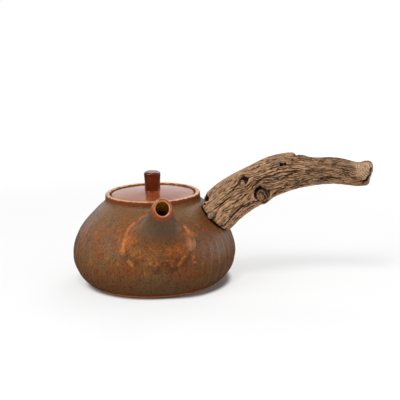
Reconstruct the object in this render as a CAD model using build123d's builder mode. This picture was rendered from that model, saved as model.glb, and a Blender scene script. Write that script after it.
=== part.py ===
from build123d import *
import math
import os

# A side-handle teapot of thrown stoneware with a handle of weathered wood, in millimetres.
# The origin is the middle of the flat foot and +Z is up. The handle runs out along +X,
# and the spout stands at the front, a little less than a quarter turn from the handle.

# Pot
pot_height = 58.2
belly_radius = 52.5
belly_height = 19.5
foot_radius = 40.6
rim_radius = 30.0
collar_height = 5.2
collar_spread = 1.0
rim_wall = 2.8
rim_round = 1.1
wall = 3.2
base_thickness = 4.0
ledge_width = 3.2
ledge_thickness = 2.4
shoulder_shares = ((0.167, 0.409), (0.54, 0.725))
shoulder_end_shares = (-0.8, 0.6)

# Lid and knob
lid_gap = 0.7
lid_set_down = 0.8
lid_edge = 2.8
lid_crown = 2.3
lid_thickness = 3.2
lid_round = 0.7
flange_gap = 0.5
flange_depth = 4.6
flange_wall = 2.4
vent_radius = 1.0
vent_clearance = 0.5
vent_azimuth = -110
knob_height = 11.8
knob_foot_radius = 4.85
knob_waist_radius = 4.8
knob_top_radius = 5.2
knob_waist_share = 0.35
knob_round = 1.0

# Spout, whose axis bends forward on its way from the shoulder to the mouth
spout_azimuth = -75
spout_root_share = 0.53
spout_reach = 23.1
spout_climb = 23.6
spout_bend = 20
mouth_cut_rise = 25
mouth_half_width = 5.8
mouth_half_height = 6.3
neck_radius = 7.0
throat_radius = 8.1
flare_root_share = 0.48
flare_depth = 2.9
flare_half_width = 20.5
flare_half_height = 16.0
flare_sink = 3.5
flare_spread = 1.0
flare_middle_share = 0.45
neck_place_share = 0.15
throat_place_share = 0.42
flare_place_share = 0.75
mouth_wall = 2.1
flare_wall = 2.8
lip_round = 0.6

# Strainer dome behind the spout
wall_hole_radius = 11.0
strainer_radius = 16.0
strainer_rise = 9.0
strainer_wall = 2.0
strainer_hole_radius = 0.85
strainer_pitch = 3.9
strainer_ring_counts = (1, 6, 12, 18)

# Wooden handle: where it meets the shoulder and how far it reaches from there
butt_root_share = 0.70
grip_length = 97.6
grip_half_thickness = 12.9
ridge_half_width = 8.0
ridge_half_height = 4.5
tip_round = 1.6
bedding_thickness = 1.3
bedding_inset = 0.7
collar_clearance = 3.0

# Stations of the wood: place along and up from the butt as shares of the grip's length, rise
# in degrees, half thickness and half width as shares of the butt's half thickness, and the
# sideways wander as a share of the length
grip_shares = (
    (-0.112, -0.111, 44, 1.03, 1.08, -0.012),
    (0.000, 0.000, 41, 1.05, 1.09, -0.012),
    (0.122, 0.105, 35, 1.00, 1.07, -0.006),
    (0.284, 0.202, 28, 0.95, 1.02, 0.000),
    (0.416, 0.259, 18, 0.93, 0.96, 0.006),
    (0.536, 0.275, 6, 0.80, 0.88, 0.010),
    (0.633, 0.276, 1, 0.69, 0.80, 0.008),
    (0.745, 0.278, -2, 0.65, 0.75, 0.002),
    (0.847, 0.268, -6, 0.61, 0.70, -0.004),
    (0.929, 0.261, -3, 0.60, 0.68, -0.008),
    (1.010, 0.262, -10, 0.54, 0.62, -0.010),
)
# The strip that stands proud on top and breaks off in a step: along, up and rise of its crest
ridge_shares = ((0.09, 0.240, 38), (0.25, 0.330, 31), (0.38, 0.388, 18), (0.51, 0.394, -3))

# Furrows that weather has opened along the grain. Each runs between two stations of the wood,
# counted from 0 as in the table above. Then come its turns round the wood at its start, middle
# and end, in degrees from 0 at the back by 90 on top to 180 in front, and its depth as a share
# of the furrows' depth. The last section of a furrow lies clear of the skin by its run-out.
furrow_half_width = 1.1
furrow_depth = 1.6
furrow_run_out_share = 1.15
furrow_section_shares = (0, 0.3, 0.7, 1)
front_furrow_shares = (
    (1.12, 2.15, 164, 166, 166, 1.0),
    (1.00, 2.45, 223, 215, 211, 1.1),
    (2.12, 2.62, 157, 149, 143, 0.8),
    (2.74, 3.80, 139, 141, 147, 0.9),
    (2.55, 4.10, 174, 168, 174, 1.0),
    (3.20, 4.50, 234, 229, 214, 1.0),
    (3.90, 5.50, 188, 178, 167, 0.9),
    (6.00, 8.00, 122, 136, 139, 0.8),
    (5.25, 7.85, 215, 203, 202, 1.0),
    (8.80, 10.50, 206, 203, 176, 1.3),
)
hidden_furrow_shares = (
    (1.30, 3.00, 20, 12, 8, 1.0),
    (1.60, 3.30, 62, 52, 46, 0.8),
    (2.20, 4.40, -35, -28, -30, 1.0),
    (3.40, 5.20, 35, 28, 22, 0.9),
    (4.80, 7.20, 0, -8, -4, 1.0),
    (6.00, 8.60, 42, 36, 30, 0.8),
    (7.40, 9.40, -30, -22, -26, 0.8),
    (5.70, 8.20, 84, 92, 88, 0.8),
    (1.60, 3.60, 262, 268, 264, 1.0),
    (3.80, 6.20, 275, 266, 270, 1.0),
    (6.40, 8.80, 258, 266, 262, 0.9),
)

# Socket pin of the pot inside the wood, and the peg that locks the two
stub_radius = 7.5
stub_length = 24.0
stub_round = 1.2
stub_clearance = 0.15
peg_radius = 2.1
peg_clearance = 0.05
peg_blank_share = 6
peg_along_share = -0.018
peg_up_share = 0.013
peg_side_share = -0.16
peg_lead_shares = (0.22, 0.97, 0.09)

# Knots, rotted pocket and worm holes: along and up as shares of the grip's length
knot_radius = 3.4
knot_groove = 1.2
knot_depth = 3.2
knot_set_back = 0.4
knot_shares = (0.297, 0.150, -0.118)
small_knot_radius = 2.4
small_knot_shares = (0.189, 0.230, -0.100)
pocket_radius = 2.3
pocket_depth = 5.0
pocket_shares = (-0.050, 0.112, -0.100)
worm_radius = 0.8
worm_depth = 4.0
worm_shares = ((0.437, 0.340, -0.080), (0.462, 0.337, -0.080))

# One overrun lets every cut pass clean through
overrun = 2.0

rim_inner_radius = rim_radius - rim_wall
ledge_height = pot_height - lid_set_down - lid_edge
ledge_bore_radius = rim_inner_radius - ledge_width
collar_foot_height = pot_height - collar_height
collar_foot_radius = rim_radius + collar_spread


def between(start, end, shares):
    """Point that lies the given shares of the way from start to end."""
    return tuple(a + (b - a) * share for a, b, share in zip(start, end, shares))


def shoulder_points(grow):
    """Points of the shoulder, from the widest line up to the collar, grown outwards by grow."""
    belly = (belly_radius + grow, belly_height)
    collar_foot = (collar_foot_radius + grow, collar_foot_height + grow / 2)
    return [belly, *(between(belly, collar_foot, shares) for shares in shoulder_shares), collar_foot]


def pot_form(grow):
    """Solid of the pot's outer form, up to the rim, with its walls grown outwards by grow."""
    shoulder = shoulder_points(grow)
    foot = (foot_radius + grow, 0)
    with BuildPart() as form:
        with BuildSketch(Plane.XZ):
            with BuildLine():
                TangentArc(shoulder[0], foot, tangent=(0, -1))
                Spline(*shoulder, tangents=((0, 1), shoulder_end_shares))
                Polyline(shoulder[-1], (rim_radius + grow, pot_height), (0, pot_height), (0, 0), foot)
            make_face()
        revolve(axis=Axis.Z)
    return form.part


outer_form = pot_form(0)


def cavity_form():
    """Solid of the space inside the pot: chamber, neck and the seat of the lid."""
    belly = (belly_radius - wall, belly_height)
    neck = (ledge_bore_radius, ledge_height - ledge_thickness)
    shoulder = [between(belly, neck, shares) for shares in shoulder_shares]
    floor_edge = (foot_radius - wall, base_thickness)
    top = pot_height + overrun
    with BuildPart() as form:
        with BuildSketch(Plane.XZ):
            with BuildLine():
                TangentArc(belly, floor_edge, tangent=(0, -1))
                Spline(belly, *shoulder, neck, tangents=((0, 1), shoulder_end_shares))
                Polyline(
                    neck,
                    (ledge_bore_radius, ledge_height),
                    (rim_inner_radius, ledge_height),
                    (rim_inner_radius, top),
                    (0, top),
                    (0, base_thickness),
                    floor_edge,
                )
            make_face()
        revolve(axis=Axis.Z)
    return form.part


inner_form = cavity_form()

# Line of the shoulder in the half section, with out from the axis as X and up as Y
with BuildLine() as shoulder_line:
    Spline(*shoulder_points(0), tangents=((0, 1), shoulder_end_shares))


def shoulder_root(share):
    """Place and slope of the shoulder's skin a share of the way up: out, up, rise of its normal."""
    place = shoulder_line.line @ share
    slope = shoulder_line.line % share
    return place.X, place.Y, math.degrees(math.atan2(-slope.X, slope.Y))


# Spout axis: an arc from the shoulder, where it rises steeply, to the mouth, where it leans out
spout_out = Vector(math.cos(math.radians(spout_azimuth)), math.sin(math.radians(spout_azimuth)), 0)
spout_side = Vector(-spout_out.Y, spout_out.X, 0)
spout_up = Vector(0, 0, 1)
root_out, root_height, root_rise = shoulder_root(spout_root_share)
mouth_point = spout_out * (root_out + spout_reach) + spout_up * (root_height + spout_climb)
mouth_rise = math.degrees(math.atan2(spout_climb, spout_reach)) - spout_bend / 2
bend_radius = math.hypot(spout_reach, spout_climb) / (2 * math.sin(math.radians(spout_bend) / 2))
spout_length = bend_radius * math.radians(spout_bend)


def spout_direction(rise):
    """Unit vector that climbs at the given angle above the spout's azimuth."""
    angle = math.radians(rise)
    return spout_out * math.cos(angle) + spout_up * math.sin(angle)


def spout_plane(back):
    """Plane square to the spout's axis, the given length back from the mouth along its arc."""
    angle = back / bend_radius
    chord = 2 * bend_radius * math.sin(angle / 2)
    middle = spout_direction(mouth_rise + math.degrees(angle) / 2)
    heading = spout_direction(mouth_rise + math.degrees(angle))
    return Plane(origin=mouth_point - middle * chord, x_dir=spout_side, z_dir=heading)


def spout_form(thin_mouth, thin_flare):
    """Solid of the spout's outline, thinned by a wall at the mouth and at the flare."""
    thin_throat = (thin_mouth + thin_flare) / 2
    middle_width = throat_radius + (flare_half_width - throat_radius) * flare_middle_share
    middle_height = throat_radius + (flare_half_height - throat_radius) * flare_middle_share
    flare_out, flare_height, flare_rise = shoulder_root(flare_root_share)
    skin = Plane(
        origin=spout_out * flare_out + spout_up * flare_height,
        x_dir=spout_side,
        z_dir=spout_direction(flare_rise),
    )
    foot = skin.offset(-flare_depth)
    sections = (
        (spout_plane(-2 * overrun), mouth_half_width, mouth_half_height, thin_mouth),
        (spout_plane(0), mouth_half_width, mouth_half_height, thin_mouth),
        (spout_plane(spout_length * neck_place_share), neck_radius, neck_radius, thin_mouth),
        (spout_plane(spout_length * throat_place_share), throat_radius, throat_radius, thin_throat),
        (spout_plane(spout_length * flare_place_share), middle_width, middle_height, thin_flare),
        (foot, flare_half_width, flare_half_height, thin_flare),
        (
            foot.offset(-flare_sink),
            flare_half_width + flare_spread,
            flare_half_height + flare_spread,
            thin_flare,
        ),
    )
    with BuildPart() as form:
        for plane, half_width, half_height, thin in sections:
            with BuildSketch(plane):
                Ellipse(half_width - thin, half_height - thin)
        loft()
    return form.part


spout_envelope = spout_form(0, 0)
spout_hollow = spout_form(mouth_wall, flare_wall)
base_plane = spout_plane(spout_length)

pierce_length = 2 * (wall + strainer_rise)

os.makedirs("parts", exist_ok=True)

# Pot body: one thrown wall with its flat foot, shoulder, collar and the ledge for the lid
with BuildPart() as pot_body:
    add(outer_form)
    add(inner_form, mode=Mode.SUBTRACT)
    fillet(pot_body.faces().sort_by(Axis.Z)[-1].edges(), radius=rim_round)
    with Locations(base_plane):
        Cylinder(wall_hole_radius, pierce_length, mode=Mode.SUBTRACT)
pot_body.part.label = "pot_body"
export_step(pot_body.part, "parts/pot_body.step")

# Spout: a slender neck that flares into a wide foot on the shoulder, with an oval mouth
mouth_cut = Plane(origin=mouth_point, x_dir=spout_side, z_dir=spout_direction(mouth_cut_rise))
with BuildPart() as spout:
    add(spout_envelope)
    add(spout_hollow, mode=Mode.SUBTRACT)
    split(bisect_by=mouth_cut, keep=Keep.BOTTOM)
    fillet(spout.faces().filter_by(mouth_cut).edges(), radius=lip_round)
    add(outer_form, mode=Mode.SUBTRACT)
spout.part.label = "spout"
export_step(spout.part, "parts/spout.step")

# Strainer: a pierced clay dome inside the wall, over the hole that feeds the spout
dome_middle = base_plane.offset(strainer_radius - strainer_rise - wall)
with BuildPart() as strainer:
    with Locations(dome_middle):
        Sphere(strainer_radius)
        Sphere(strainer_radius - strainer_wall, mode=Mode.SUBTRACT)
    add(inner_form, mode=Mode.INTERSECT)
    for ring, count in enumerate(strainer_ring_counts):
        lean = math.degrees(ring * strainer_pitch / strainer_radius)
        for turn in range(count):
            spin = 360 * turn / count
            with Locations(dome_middle * Location((0, 0, 0), (0, 180 - lean, spin), Extrinsic.XYZ)):
                Cylinder(
                    strainer_hole_radius,
                    strainer_radius + overrun,
                    align=(Align.CENTER, Align.CENTER, Align.MIN),
                    mode=Mode.SUBTRACT,
                )
strainer.part.label = "strainer"
export_step(strainer.part, "parts/strainer.step")

# Lid: a crowned disc that drops into the collar, located by a ring under it
lid_radius = rim_inner_radius - lid_gap
lid_edge_height = ledge_height + lid_edge
lid_top = lid_edge_height + lid_crown
flange_radius = ledge_bore_radius - flange_gap
recess_radius = flange_radius - flange_wall
vent_out = knob_foot_radius + vent_radius + vent_clearance
vent_angle = math.radians(vent_azimuth)


def lid_form():
    """Solid of the lid, before the air hole is pierced."""
    with BuildPart() as form:
        with BuildSketch(Plane.XZ):
            with BuildLine():
                TangentArc((0, lid_top), (lid_radius, lid_edge_height), tangent=(1, 0))
                Polyline(
                    (lid_radius, lid_edge_height),
                    (lid_radius, ledge_height),
                    (flange_radius, ledge_height),
                    (flange_radius, ledge_height - flange_depth),
                    (recess_radius, ledge_height - flange_depth),
                    (recess_radius, lid_edge_height - lid_thickness),
                )
                TangentArc(
                    (0, lid_top - lid_thickness),
                    (recess_radius, lid_edge_height - lid_thickness),
                    tangent=(1, 0),
                )
                Line((0, lid_top - lid_thickness), (0, lid_top))
            make_face()
        revolve(axis=Axis.Z)
        rim_face = form.faces().filter_by(GeomType.CYLINDER).sort_by(lambda face: face.radius)[-1]
        fillet(rim_face.edges().filter_by(GeomType.CIRCLE), radius=lid_round)
    return form.part


lid_blank = lid_form()
with BuildPart() as lid:
    add(lid_blank)
    with Locations((vent_out * math.cos(vent_angle), vent_out * math.sin(vent_angle), lid_top)):
        Cylinder(vent_radius, 2 * (lid_thickness + overrun), mode=Mode.SUBTRACT)
lid.part.label = "lid"
export_step(lid.part, "parts/lid.step")

# Knob: a small waisted peg of clay with a soft top edge, luted to the crown of the lid
with BuildPart() as lid_knob:
    with BuildSketch(Plane.XZ):
        with BuildLine():
            Spline(
                (knob_foot_radius, lid_top - lid_thickness / 2),
                (knob_waist_radius, lid_top + knob_height * knob_waist_share),
                (knob_top_radius, lid_top + knob_height),
            )
            Polyline(
                (knob_top_radius, lid_top + knob_height),
                (0, lid_top + knob_height),
                (0, lid_top - lid_thickness / 2),
                (knob_foot_radius, lid_top - lid_thickness / 2),
            )
        make_face()
    revolve(axis=Axis.Z)
    fillet(lid_knob.faces().sort_by(Axis.Z)[-1].edges(), radius=knob_round)
    add(lid_blank, mode=Mode.SUBTRACT)
lid_knob.part.label = "lid_knob"
export_step(lid_knob.part, "parts/lid_knob.step")


seat_out, seat_height, seat_rise = shoulder_root(butt_root_share)
butt_out = seat_out + bedding_thickness * math.cos(math.radians(seat_rise))
butt_height = seat_height + bedding_thickness * math.sin(math.radians(seat_rise))


def grip_point(along, up, sideways=0):
    """Point of the wood, from shares of the grip's length counted from the butt's middle."""
    return Vector(butt_out + grip_length * along, grip_length * sideways, butt_height + grip_length * up)


def grip_plane(along, up, rise, sideways=0):
    """Plane square to the wood at a station, with its x direction level, to the back."""
    angle = math.radians(rise)
    heading = Vector(math.cos(angle), 0, math.sin(angle))
    return Plane(origin=grip_point(along, up, sideways), x_dir=(0, 1, 0), z_dir=heading)


def side_plane(along, up, sideways):
    """Plane on the front flank of the wood that faces straight out to the front."""
    return Plane(origin=grip_point(along, up, sideways), x_dir=(1, 0, 0), z_dir=(0, -1, 0))


def wood_form(inset):
    """Solid of the wood along all its stations, thinned by an inset."""
    with BuildPart() as form:
        for along, up, rise, thick, wide, sideways in grip_shares:
            with BuildSketch(grip_plane(along, up, rise, sideways)):
                Ellipse(grip_half_thickness * wide - inset, grip_half_thickness * thick - inset)
        loft()
    return form.part


def ridge_form():
    """Solid of the strip of harder wood along the top, sunk in the wood except for its crest."""
    with BuildPart() as form:
        for along, up, rise in ridge_shares:
            with BuildSketch(grip_plane(along, up, rise)):
                with Locations((0, -ridge_half_height)):
                    Ellipse(ridge_half_width, ridge_half_height)
        loft()
    return form.part


def furrow_section(station, turn, lift):
    """Plane of the wood at a station, and the place and lean of a furrow's section at a turn."""
    low = min(int(station), len(grip_shares) - 2)
    before, after = grip_shares[low], grip_shares[low + 1]
    row = between(before, after, len(before) * (station - low,))
    along, up, rise, thick, wide, sideways = row
    angle = math.radians(turn)
    lean = math.atan2(math.sin(angle) / thick, math.cos(angle) / wide)
    level = grip_half_thickness * wide * math.cos(angle) + lift * math.cos(lean)
    rising = grip_half_thickness * thick * math.sin(angle) + lift * math.sin(lean)
    return grip_plane(along, up, rise, sideways), Location((level, rising), math.degrees(lean))


def furrow_form(first, last, start_turn, middle_turn, end_turn, depth_share):
    """Solid of a furrow: a thin four-edged bar that dips into the skin and runs out at both ends."""
    depth = furrow_depth * depth_share
    with BuildPart() as form:
        for share in furrow_section_shares:
            turn = start_turn * (1 - share) * (1 - 2 * share)
            turn += middle_turn * 4 * share * (1 - share)
            turn += end_turn * share * (2 * share - 1)
            lift = depth * furrow_run_out_share * (1 - math.sin(math.pi * share))
            plane, place = furrow_section(first + (last - first) * share, turn, lift)
            with BuildSketch(plane):
                with Locations(place):
                    Polygon((depth, 0), (0, furrow_half_width), (-depth, 0), (0, -furrow_half_width))
        loft(ruled=True)
    return form.part


wood = wood_form(0)
ridge = ridge_form()
seat_form = pot_form(bedding_thickness)
upwards = (Align.CENTER, Align.CENTER, Align.MIN)
with BuildPart() as collar_space:
    Cylinder(collar_foot_radius + collar_clearance, 2 * pot_height, align=upwards)
butt_plane = grip_plane(0, 0, grip_shares[1][2])
stub_start = butt_plane.offset(-wall - overrun)
stub_reach = wall + overrun + stub_length
peg_point = grip_point(peg_along_share, peg_up_share, peg_side_share)
peg_plane = Plane(origin=peg_point, x_dir=(1, 0, 0), z_dir=peg_lead_shares)
peg_blank_length = grip_half_thickness * peg_blank_share
socket_radius = stub_radius + stub_clearance

# Socket pin: the clay stub on the pot that carries the wood, cross-drilled for its peg
with BuildPart() as handle_stub:
    with Locations(stub_start):
        Cylinder(stub_radius, stub_reach, align=upwards)
    fillet(handle_stub.edges().filter_by(GeomType.CIRCLE).sort_by(Axis.X)[-1], radius=stub_round)
    add(outer_form, mode=Mode.SUBTRACT)
    with Locations(peg_plane):
        Cylinder(peg_radius + peg_clearance, peg_blank_length, mode=Mode.SUBTRACT)
handle_stub.part.label = "handle_stub"
export_step(handle_stub.part, "parts/handle_stub.step")

# Bedding: the black filler that levels the wood against the curve of the shoulder
with BuildPart() as handle_bedding:
    add(wood_form(bedding_inset))
    add(seat_form, mode=Mode.INTERSECT)
    add(outer_form, mode=Mode.SUBTRACT)
    add(collar_space.part, mode=Mode.SUBTRACT)
    with Locations(stub_start):
        Cylinder(socket_radius, stub_reach, align=upwards, mode=Mode.SUBTRACT)
    with Locations(peg_plane):
        Cylinder(peg_radius + peg_clearance, peg_blank_length, mode=Mode.SUBTRACT)
handle_bedding.part.label = "handle_bedding"
export_step(handle_bedding.part, "parts/handle_bedding.step")

# Locking peg: a bamboo pin across wood and stub, pared flush with the wood at both ends
with BuildPart() as handle_peg:
    with Locations(peg_plane):
        Cylinder(peg_radius, peg_blank_length)
    add(wood, mode=Mode.INTERSECT)
handle_peg.part.label = "handle_peg"
export_step(handle_peg.part, "parts/handle_peg.step")

# Handle: the bent piece of wood with its broken ridge, knots, rotted pocket and worm holes
with BuildPart() as handle:
    add(wood)
    fillet(handle.faces().sort_by(Axis.X)[-1].edges(), radius=tip_round)
    add(ridge)
    add(seat_form, mode=Mode.SUBTRACT)
    add(collar_space.part, mode=Mode.SUBTRACT)
    with Locations(stub_start):
        Cylinder(socket_radius, stub_reach + stub_clearance, align=upwards, mode=Mode.SUBTRACT)
    with Locations(peg_plane):
        Cylinder(peg_radius + peg_clearance, peg_blank_length, mode=Mode.SUBTRACT)
    for radius, shares in ((knot_radius, knot_shares), (small_knot_radius, small_knot_shares)):
        with Locations(side_plane(*shares).offset(-knot_depth)):
            Cylinder(radius + knot_groove, grip_half_thickness, align=upwards, mode=Mode.SUBTRACT)
            Cylinder(radius, knot_depth - knot_set_back, align=upwards)
    for shares in front_furrow_shares + hidden_furrow_shares:
        add(furrow_form(*shares), mode=Mode.SUBTRACT)
    for shares in worm_shares:
        with Locations(side_plane(*shares)):
            Cylinder(worm_radius, 2 * worm_depth, mode=Mode.SUBTRACT)
    with Locations(side_plane(*pocket_shares)):
        Cylinder(pocket_radius, 2 * pocket_depth, mode=Mode.SUBTRACT)
handle.part.label = "handle"
export_step(handle.part, "parts/handle.step")

for piece in (pot_body, spout, strainer, lid, lid_knob, handle_stub, handle_bedding, handle_peg, handle):
    print(piece.part.label, "solids", len(piece.part.solids()), "volume", round(piece.part.volume, 1))
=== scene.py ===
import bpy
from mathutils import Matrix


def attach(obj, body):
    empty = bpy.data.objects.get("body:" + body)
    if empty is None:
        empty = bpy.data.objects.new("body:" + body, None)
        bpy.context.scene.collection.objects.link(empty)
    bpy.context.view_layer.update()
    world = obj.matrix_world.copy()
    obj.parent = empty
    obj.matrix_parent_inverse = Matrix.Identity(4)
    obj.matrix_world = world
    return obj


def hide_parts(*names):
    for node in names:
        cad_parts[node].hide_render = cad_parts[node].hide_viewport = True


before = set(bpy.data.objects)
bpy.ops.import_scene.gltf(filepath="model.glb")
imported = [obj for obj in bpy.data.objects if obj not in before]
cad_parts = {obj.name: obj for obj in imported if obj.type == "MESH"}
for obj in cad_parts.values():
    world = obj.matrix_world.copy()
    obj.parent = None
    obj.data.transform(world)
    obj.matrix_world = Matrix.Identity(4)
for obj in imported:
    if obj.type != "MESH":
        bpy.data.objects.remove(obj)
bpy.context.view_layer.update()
print("CAD nodes:", ", ".join(sorted(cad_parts)))

# %% [markdown]
# All work is in metres, but a potter thinks in millimetres, so every size is written as a
# number of millimetres. The Standard view shows colours about as they are written.
# %% Units and view
import math

import bpy
import numpy as np
from mathutils import Matrix, Vector

MM = 0.001
scene = bpy.context.scene
scene.view_settings.view_transform = "Standard"
print("one millimetre is", MM, "m")

# %% [markdown]
# The camera stands 70 cm away, a little above the rim and slightly to the right of the spout.
# A camera looks along its own -Z axis, so its matrix is written from three directions: right,
# up and back. The same function aims the lamps. The horizon leans by a little over a degree.
# %% Camera
camera_place = (124.9 * MM, -671.5 * MM, 207.8 * MM)
camera_target = (29.9 * MM, 4.2 * MM, 52.0 * MM)
camera_roll = math.radians(-1.28)
camera_lens = 98.1


def aimed(place, target, roll=0.0):
    """Matrix of an object at place whose -Z axis points at target, rolled about that axis."""
    back = (Vector(place) - Vector(target)).normalized()
    level = Vector((0, 0, 1)).cross(back).normalized()
    rise = back.cross(level)
    right = level * math.cos(roll) + rise * math.sin(roll)
    up = rise * math.cos(roll) - level * math.sin(roll)
    turn = Matrix((right, up, back)).transposed().to_4x4()
    return Matrix.Translation(place) @ turn


camera_data = bpy.data.cameras.new("camera")
camera_data.lens = camera_lens
camera = bpy.data.objects.new("camera", camera_data)
scene.collection.objects.link(camera)
camera.matrix_world = aimed(camera_place, camera_target, camera_roll)
scene.camera = camera
print("camera lens", camera_data.lens, "mm")

# %% [markdown]
# A node tree can be written like a sum. The class below wraps one socket. Python's operators
# add Math nodes, so `1 - mask * 0.5` builds the same nodes that a person would drag together,
# and one method makes every other node from its type, its settings and its sockets.
# %% Sockets that calculate


class Wire:
    """A socket of a node tree, which operators can calculate with."""

    def __init__(self, tree, socket=None):
        """Keeps the tree that new nodes go into, and the socket that carries the value."""
        self.tree = tree
        self.socket = socket

    def node(self, kind, settings=None, sockets=None, out=0):
        """Adds a node, sets its settings, then its sockets, and returns the output named by out."""
        made = self.tree.nodes.new("ShaderNode" + kind)
        for name, value in (settings or {}).items():
            setattr(made, name, value)
        for name, value in (sockets or {}).items():
            if isinstance(value, Wire):
                self.tree.links.new(value.socket, made.inputs[name])
            else:
                made.inputs[name].default_value = value
        return Wire(self.tree, made.outputs[out] if made.outputs else None)

    def math(self, operation, *values):
        """A Math node on the given values."""
        return self.node("Math", {"operation": operation}, dict(enumerate(values)))

    def __add__(self, other):
        """The sum of two values."""
        return self.math("ADD", self, other)

    def __sub__(self, other):
        """This value less the other."""
        return self.math("SUBTRACT", self, other)

    def __rsub__(self, other):
        """A number less this value, as in 1 - mask."""
        return self.math("SUBTRACT", other, self)

    def __mul__(self, other):
        """The product of two values."""
        return self.math("MULTIPLY", self, other)

    def most(self, other):
        """The larger of two values."""
        return self.math("MAXIMUM", self, other)

    __radd__ = __add__
    __rmul__ = __mul__


print("methods of a wire:", [name for name in vars(Wire) if not name.startswith("_")])

# %% [markdown]
# Colours are picked on a screen, so they are written as screen values from 0 to 255, and one
# function turns them into the linear light that shaders work with. The other helpers here
# begin and end a finish, and read where a point lies or what its mesh keeps for it.
# %% Colours and finishes


def shade(red, green, blue):
    """Linear colour of screen values, by the sRGB curve: a short straight foot, then a power."""
    screen = np.array([red, green, blue]) / 255
    linear = np.where(screen > 0.04045, ((screen + 0.055) / 1.055) ** 2.4, screen / 12.92)
    return (*linear.tolist(), 1.0)


def start_finish(name):
    """A new material with an empty tree, and a wire to build on."""
    finish = bpy.data.materials.new(name)
    finish.use_nodes = True
    finish.node_tree.nodes.clear()
    return finish, Wire(finish.node_tree)


def end_finish(finish, wire, **sockets):
    """Closes a material with one Principled shader."""
    names = {name.replace("_", " "): value for name, value in sockets.items()}
    shader = wire.node("BsdfPrincipled", None, names)
    wire.node("OutputMaterial", None, {"Surface": shader})
    return finish


def object_place(wire):
    """Where a point lies on its piece, in metres."""
    return wire.node("TexCoord", out="Object")


def coordinate(wire, place, axis):
    """One coordinate of a place: X, Y or Z."""
    return wire.node("SeparateXYZ", None, {"Vector": place}, out=axis)


def stored(wire, name, out="Fac"):
    """The value that a mesh keeps under a name for each of its points."""
    return wire.node("Attribute", {"attribute_name": name}, None, out=out)


print("mid grey on screen is", round(shade(128, 128, 128)[0], 3), "in linear light")

# %% [markdown]
# Glaze and weathered wood are patchy at every size, so most patterns start from noise: patches
# of a given size, a soft threshold that makes islands of them, and thin veins where a noise
# crosses its middle. A blend lays one colour over another, and a bump makes relief.
# %% Patterns


def patches(wire, place, cell, detail=3.0, roughness=0.55, stretch=(1, 1, 1)):
    """Noise from 0 to 1 whose patches are about cell across, longer where stretch is over 1."""
    squeeze = tuple(1 / amount for amount in stretch)
    spread = wire.node("VectorMath", {"operation": "MULTIPLY"}, {0: place, 1: squeeze})
    sockets = {"Vector": spread, "Scale": 1 / cell, "Detail": detail, "Roughness": roughness}
    return wire.node("TexNoise", None, sockets)


def soft_step(value, low, high):
    """0 below low and 1 above high, with a smooth climb between them."""
    sockets = {"Value": value, "From Min": low, "From Max": high}
    return value.node("MapRange", {"interpolation_type": "SMOOTHSTEP"}, sockets)


def veins(noise, width):
    """Thin lines, 1 where a noise crosses its middle value and 0 further than width from it."""
    offset = noise - 0.5
    return 1 - soft_step(offset.math("ABSOLUTE", offset), 0.0, width)


def blend(wire, under, over, amount):
    """Colour under, covered with colour over by amount."""
    return wire.node("Mix", {"data_type": "RGBA"}, {0: amount, 6: under, 7: over}, out=2)


def bump(wire, height, distance):
    """Normal of a surface raised by height times distance, in metres."""
    return wire.node("Bump", None, {"Height": height, "Distance": distance})


print("patches of 5 mm need a noise scale of", round(1 / (5 * MM)), "to the metre")

# %% [markdown]
# The background is white for the camera and for see-through rays only, and that makes it white
# without a brighter light on the pot. All else gets a soft grey from it. Mirrored rays meet a
# pale wall behind the pot and a dim room behind the camera, so that the glaze keeps deep
# colours at the front.
# %% Background
surround_level = 0.42
mirrored_behind = 1.0
mirrored_front = 0.12
wall_begins, wall_full = -0.4, 0.7


def dress_world():
    """White for camera and transmitted rays, soft grey for others, and mirrored ones between."""
    world = bpy.data.worlds.new("surround")
    scene.world = world
    world.use_nodes = True
    world.node_tree.nodes.clear()
    wire = Wire(world.node_tree)
    seen = wire.node("LightPath", out="Is Camera Ray")
    through = wire.node("LightPath", out="Is Transmission Ray")
    shiny = wire.node("LightPath", out="Is Glossy Ray")
    towards = coordinate(wire, wire.node("TexCoord", out="Generated"), "Y")
    wall = soft_step(towards, wall_begins, wall_full)
    mirrored = wall * (mirrored_behind - mirrored_front) + mirrored_front
    direct = seen.most(through)
    around = shiny * (mirrored - surround_level) + surround_level
    level = direct + (1 - direct) * around
    light = wire.node("Background", None, {"Color": (1, 1, 1, 1), "Strength": level})
    wire.node("OutputWorld", None, {"Surface": light})


dress_world()
print("world nodes:", len(scene.world.node_tree.nodes))

# %% [markdown]
# Five large soft lamps light the table. The key lamp hangs to the upper left and another above
# the front, a weak one fills the right side, and two behind the pot give the glaze its bright
# edges. A plan gives a lamp's place, its target and its size in millimetres, and its power.
# %% Lamps
lamp_plans = (
    ("key_lamp", (-620, -620, 650), (20, 0, 40), 420, 3.4),
    ("top_lamp", (-20, -520, 820), (30, 0, 40), 240, 3.4),
    ("fill_lamp", (760, -520, 380), (20, 0, 40), 520, 0.8),
    ("back_lamp", (200, 700, 620), (20, 0, 40), 520, 2.2),
    ("edge_lamp", (820, 300, 150), (20, 0, 30), 300, 1.6),
)


def hang_lamp(name, place, target, size, power):
    """A square soft lamp at place that shines at target, both in millimetres."""
    lamp_data = bpy.data.lights.new(name, "AREA")
    lamp_data.shape = "SQUARE"
    lamp_data.size = size * MM
    lamp_data.energy = power
    lamp = bpy.data.objects.new(name, lamp_data)
    scene.collection.objects.link(lamp)
    lamp.matrix_world = aimed(Vector(place) * MM, Vector(target) * MM)


for plan in lamp_plans:
    hang_lamp(*plan)
print("lamps:", [plan[0] for plan in lamp_plans])
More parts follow.
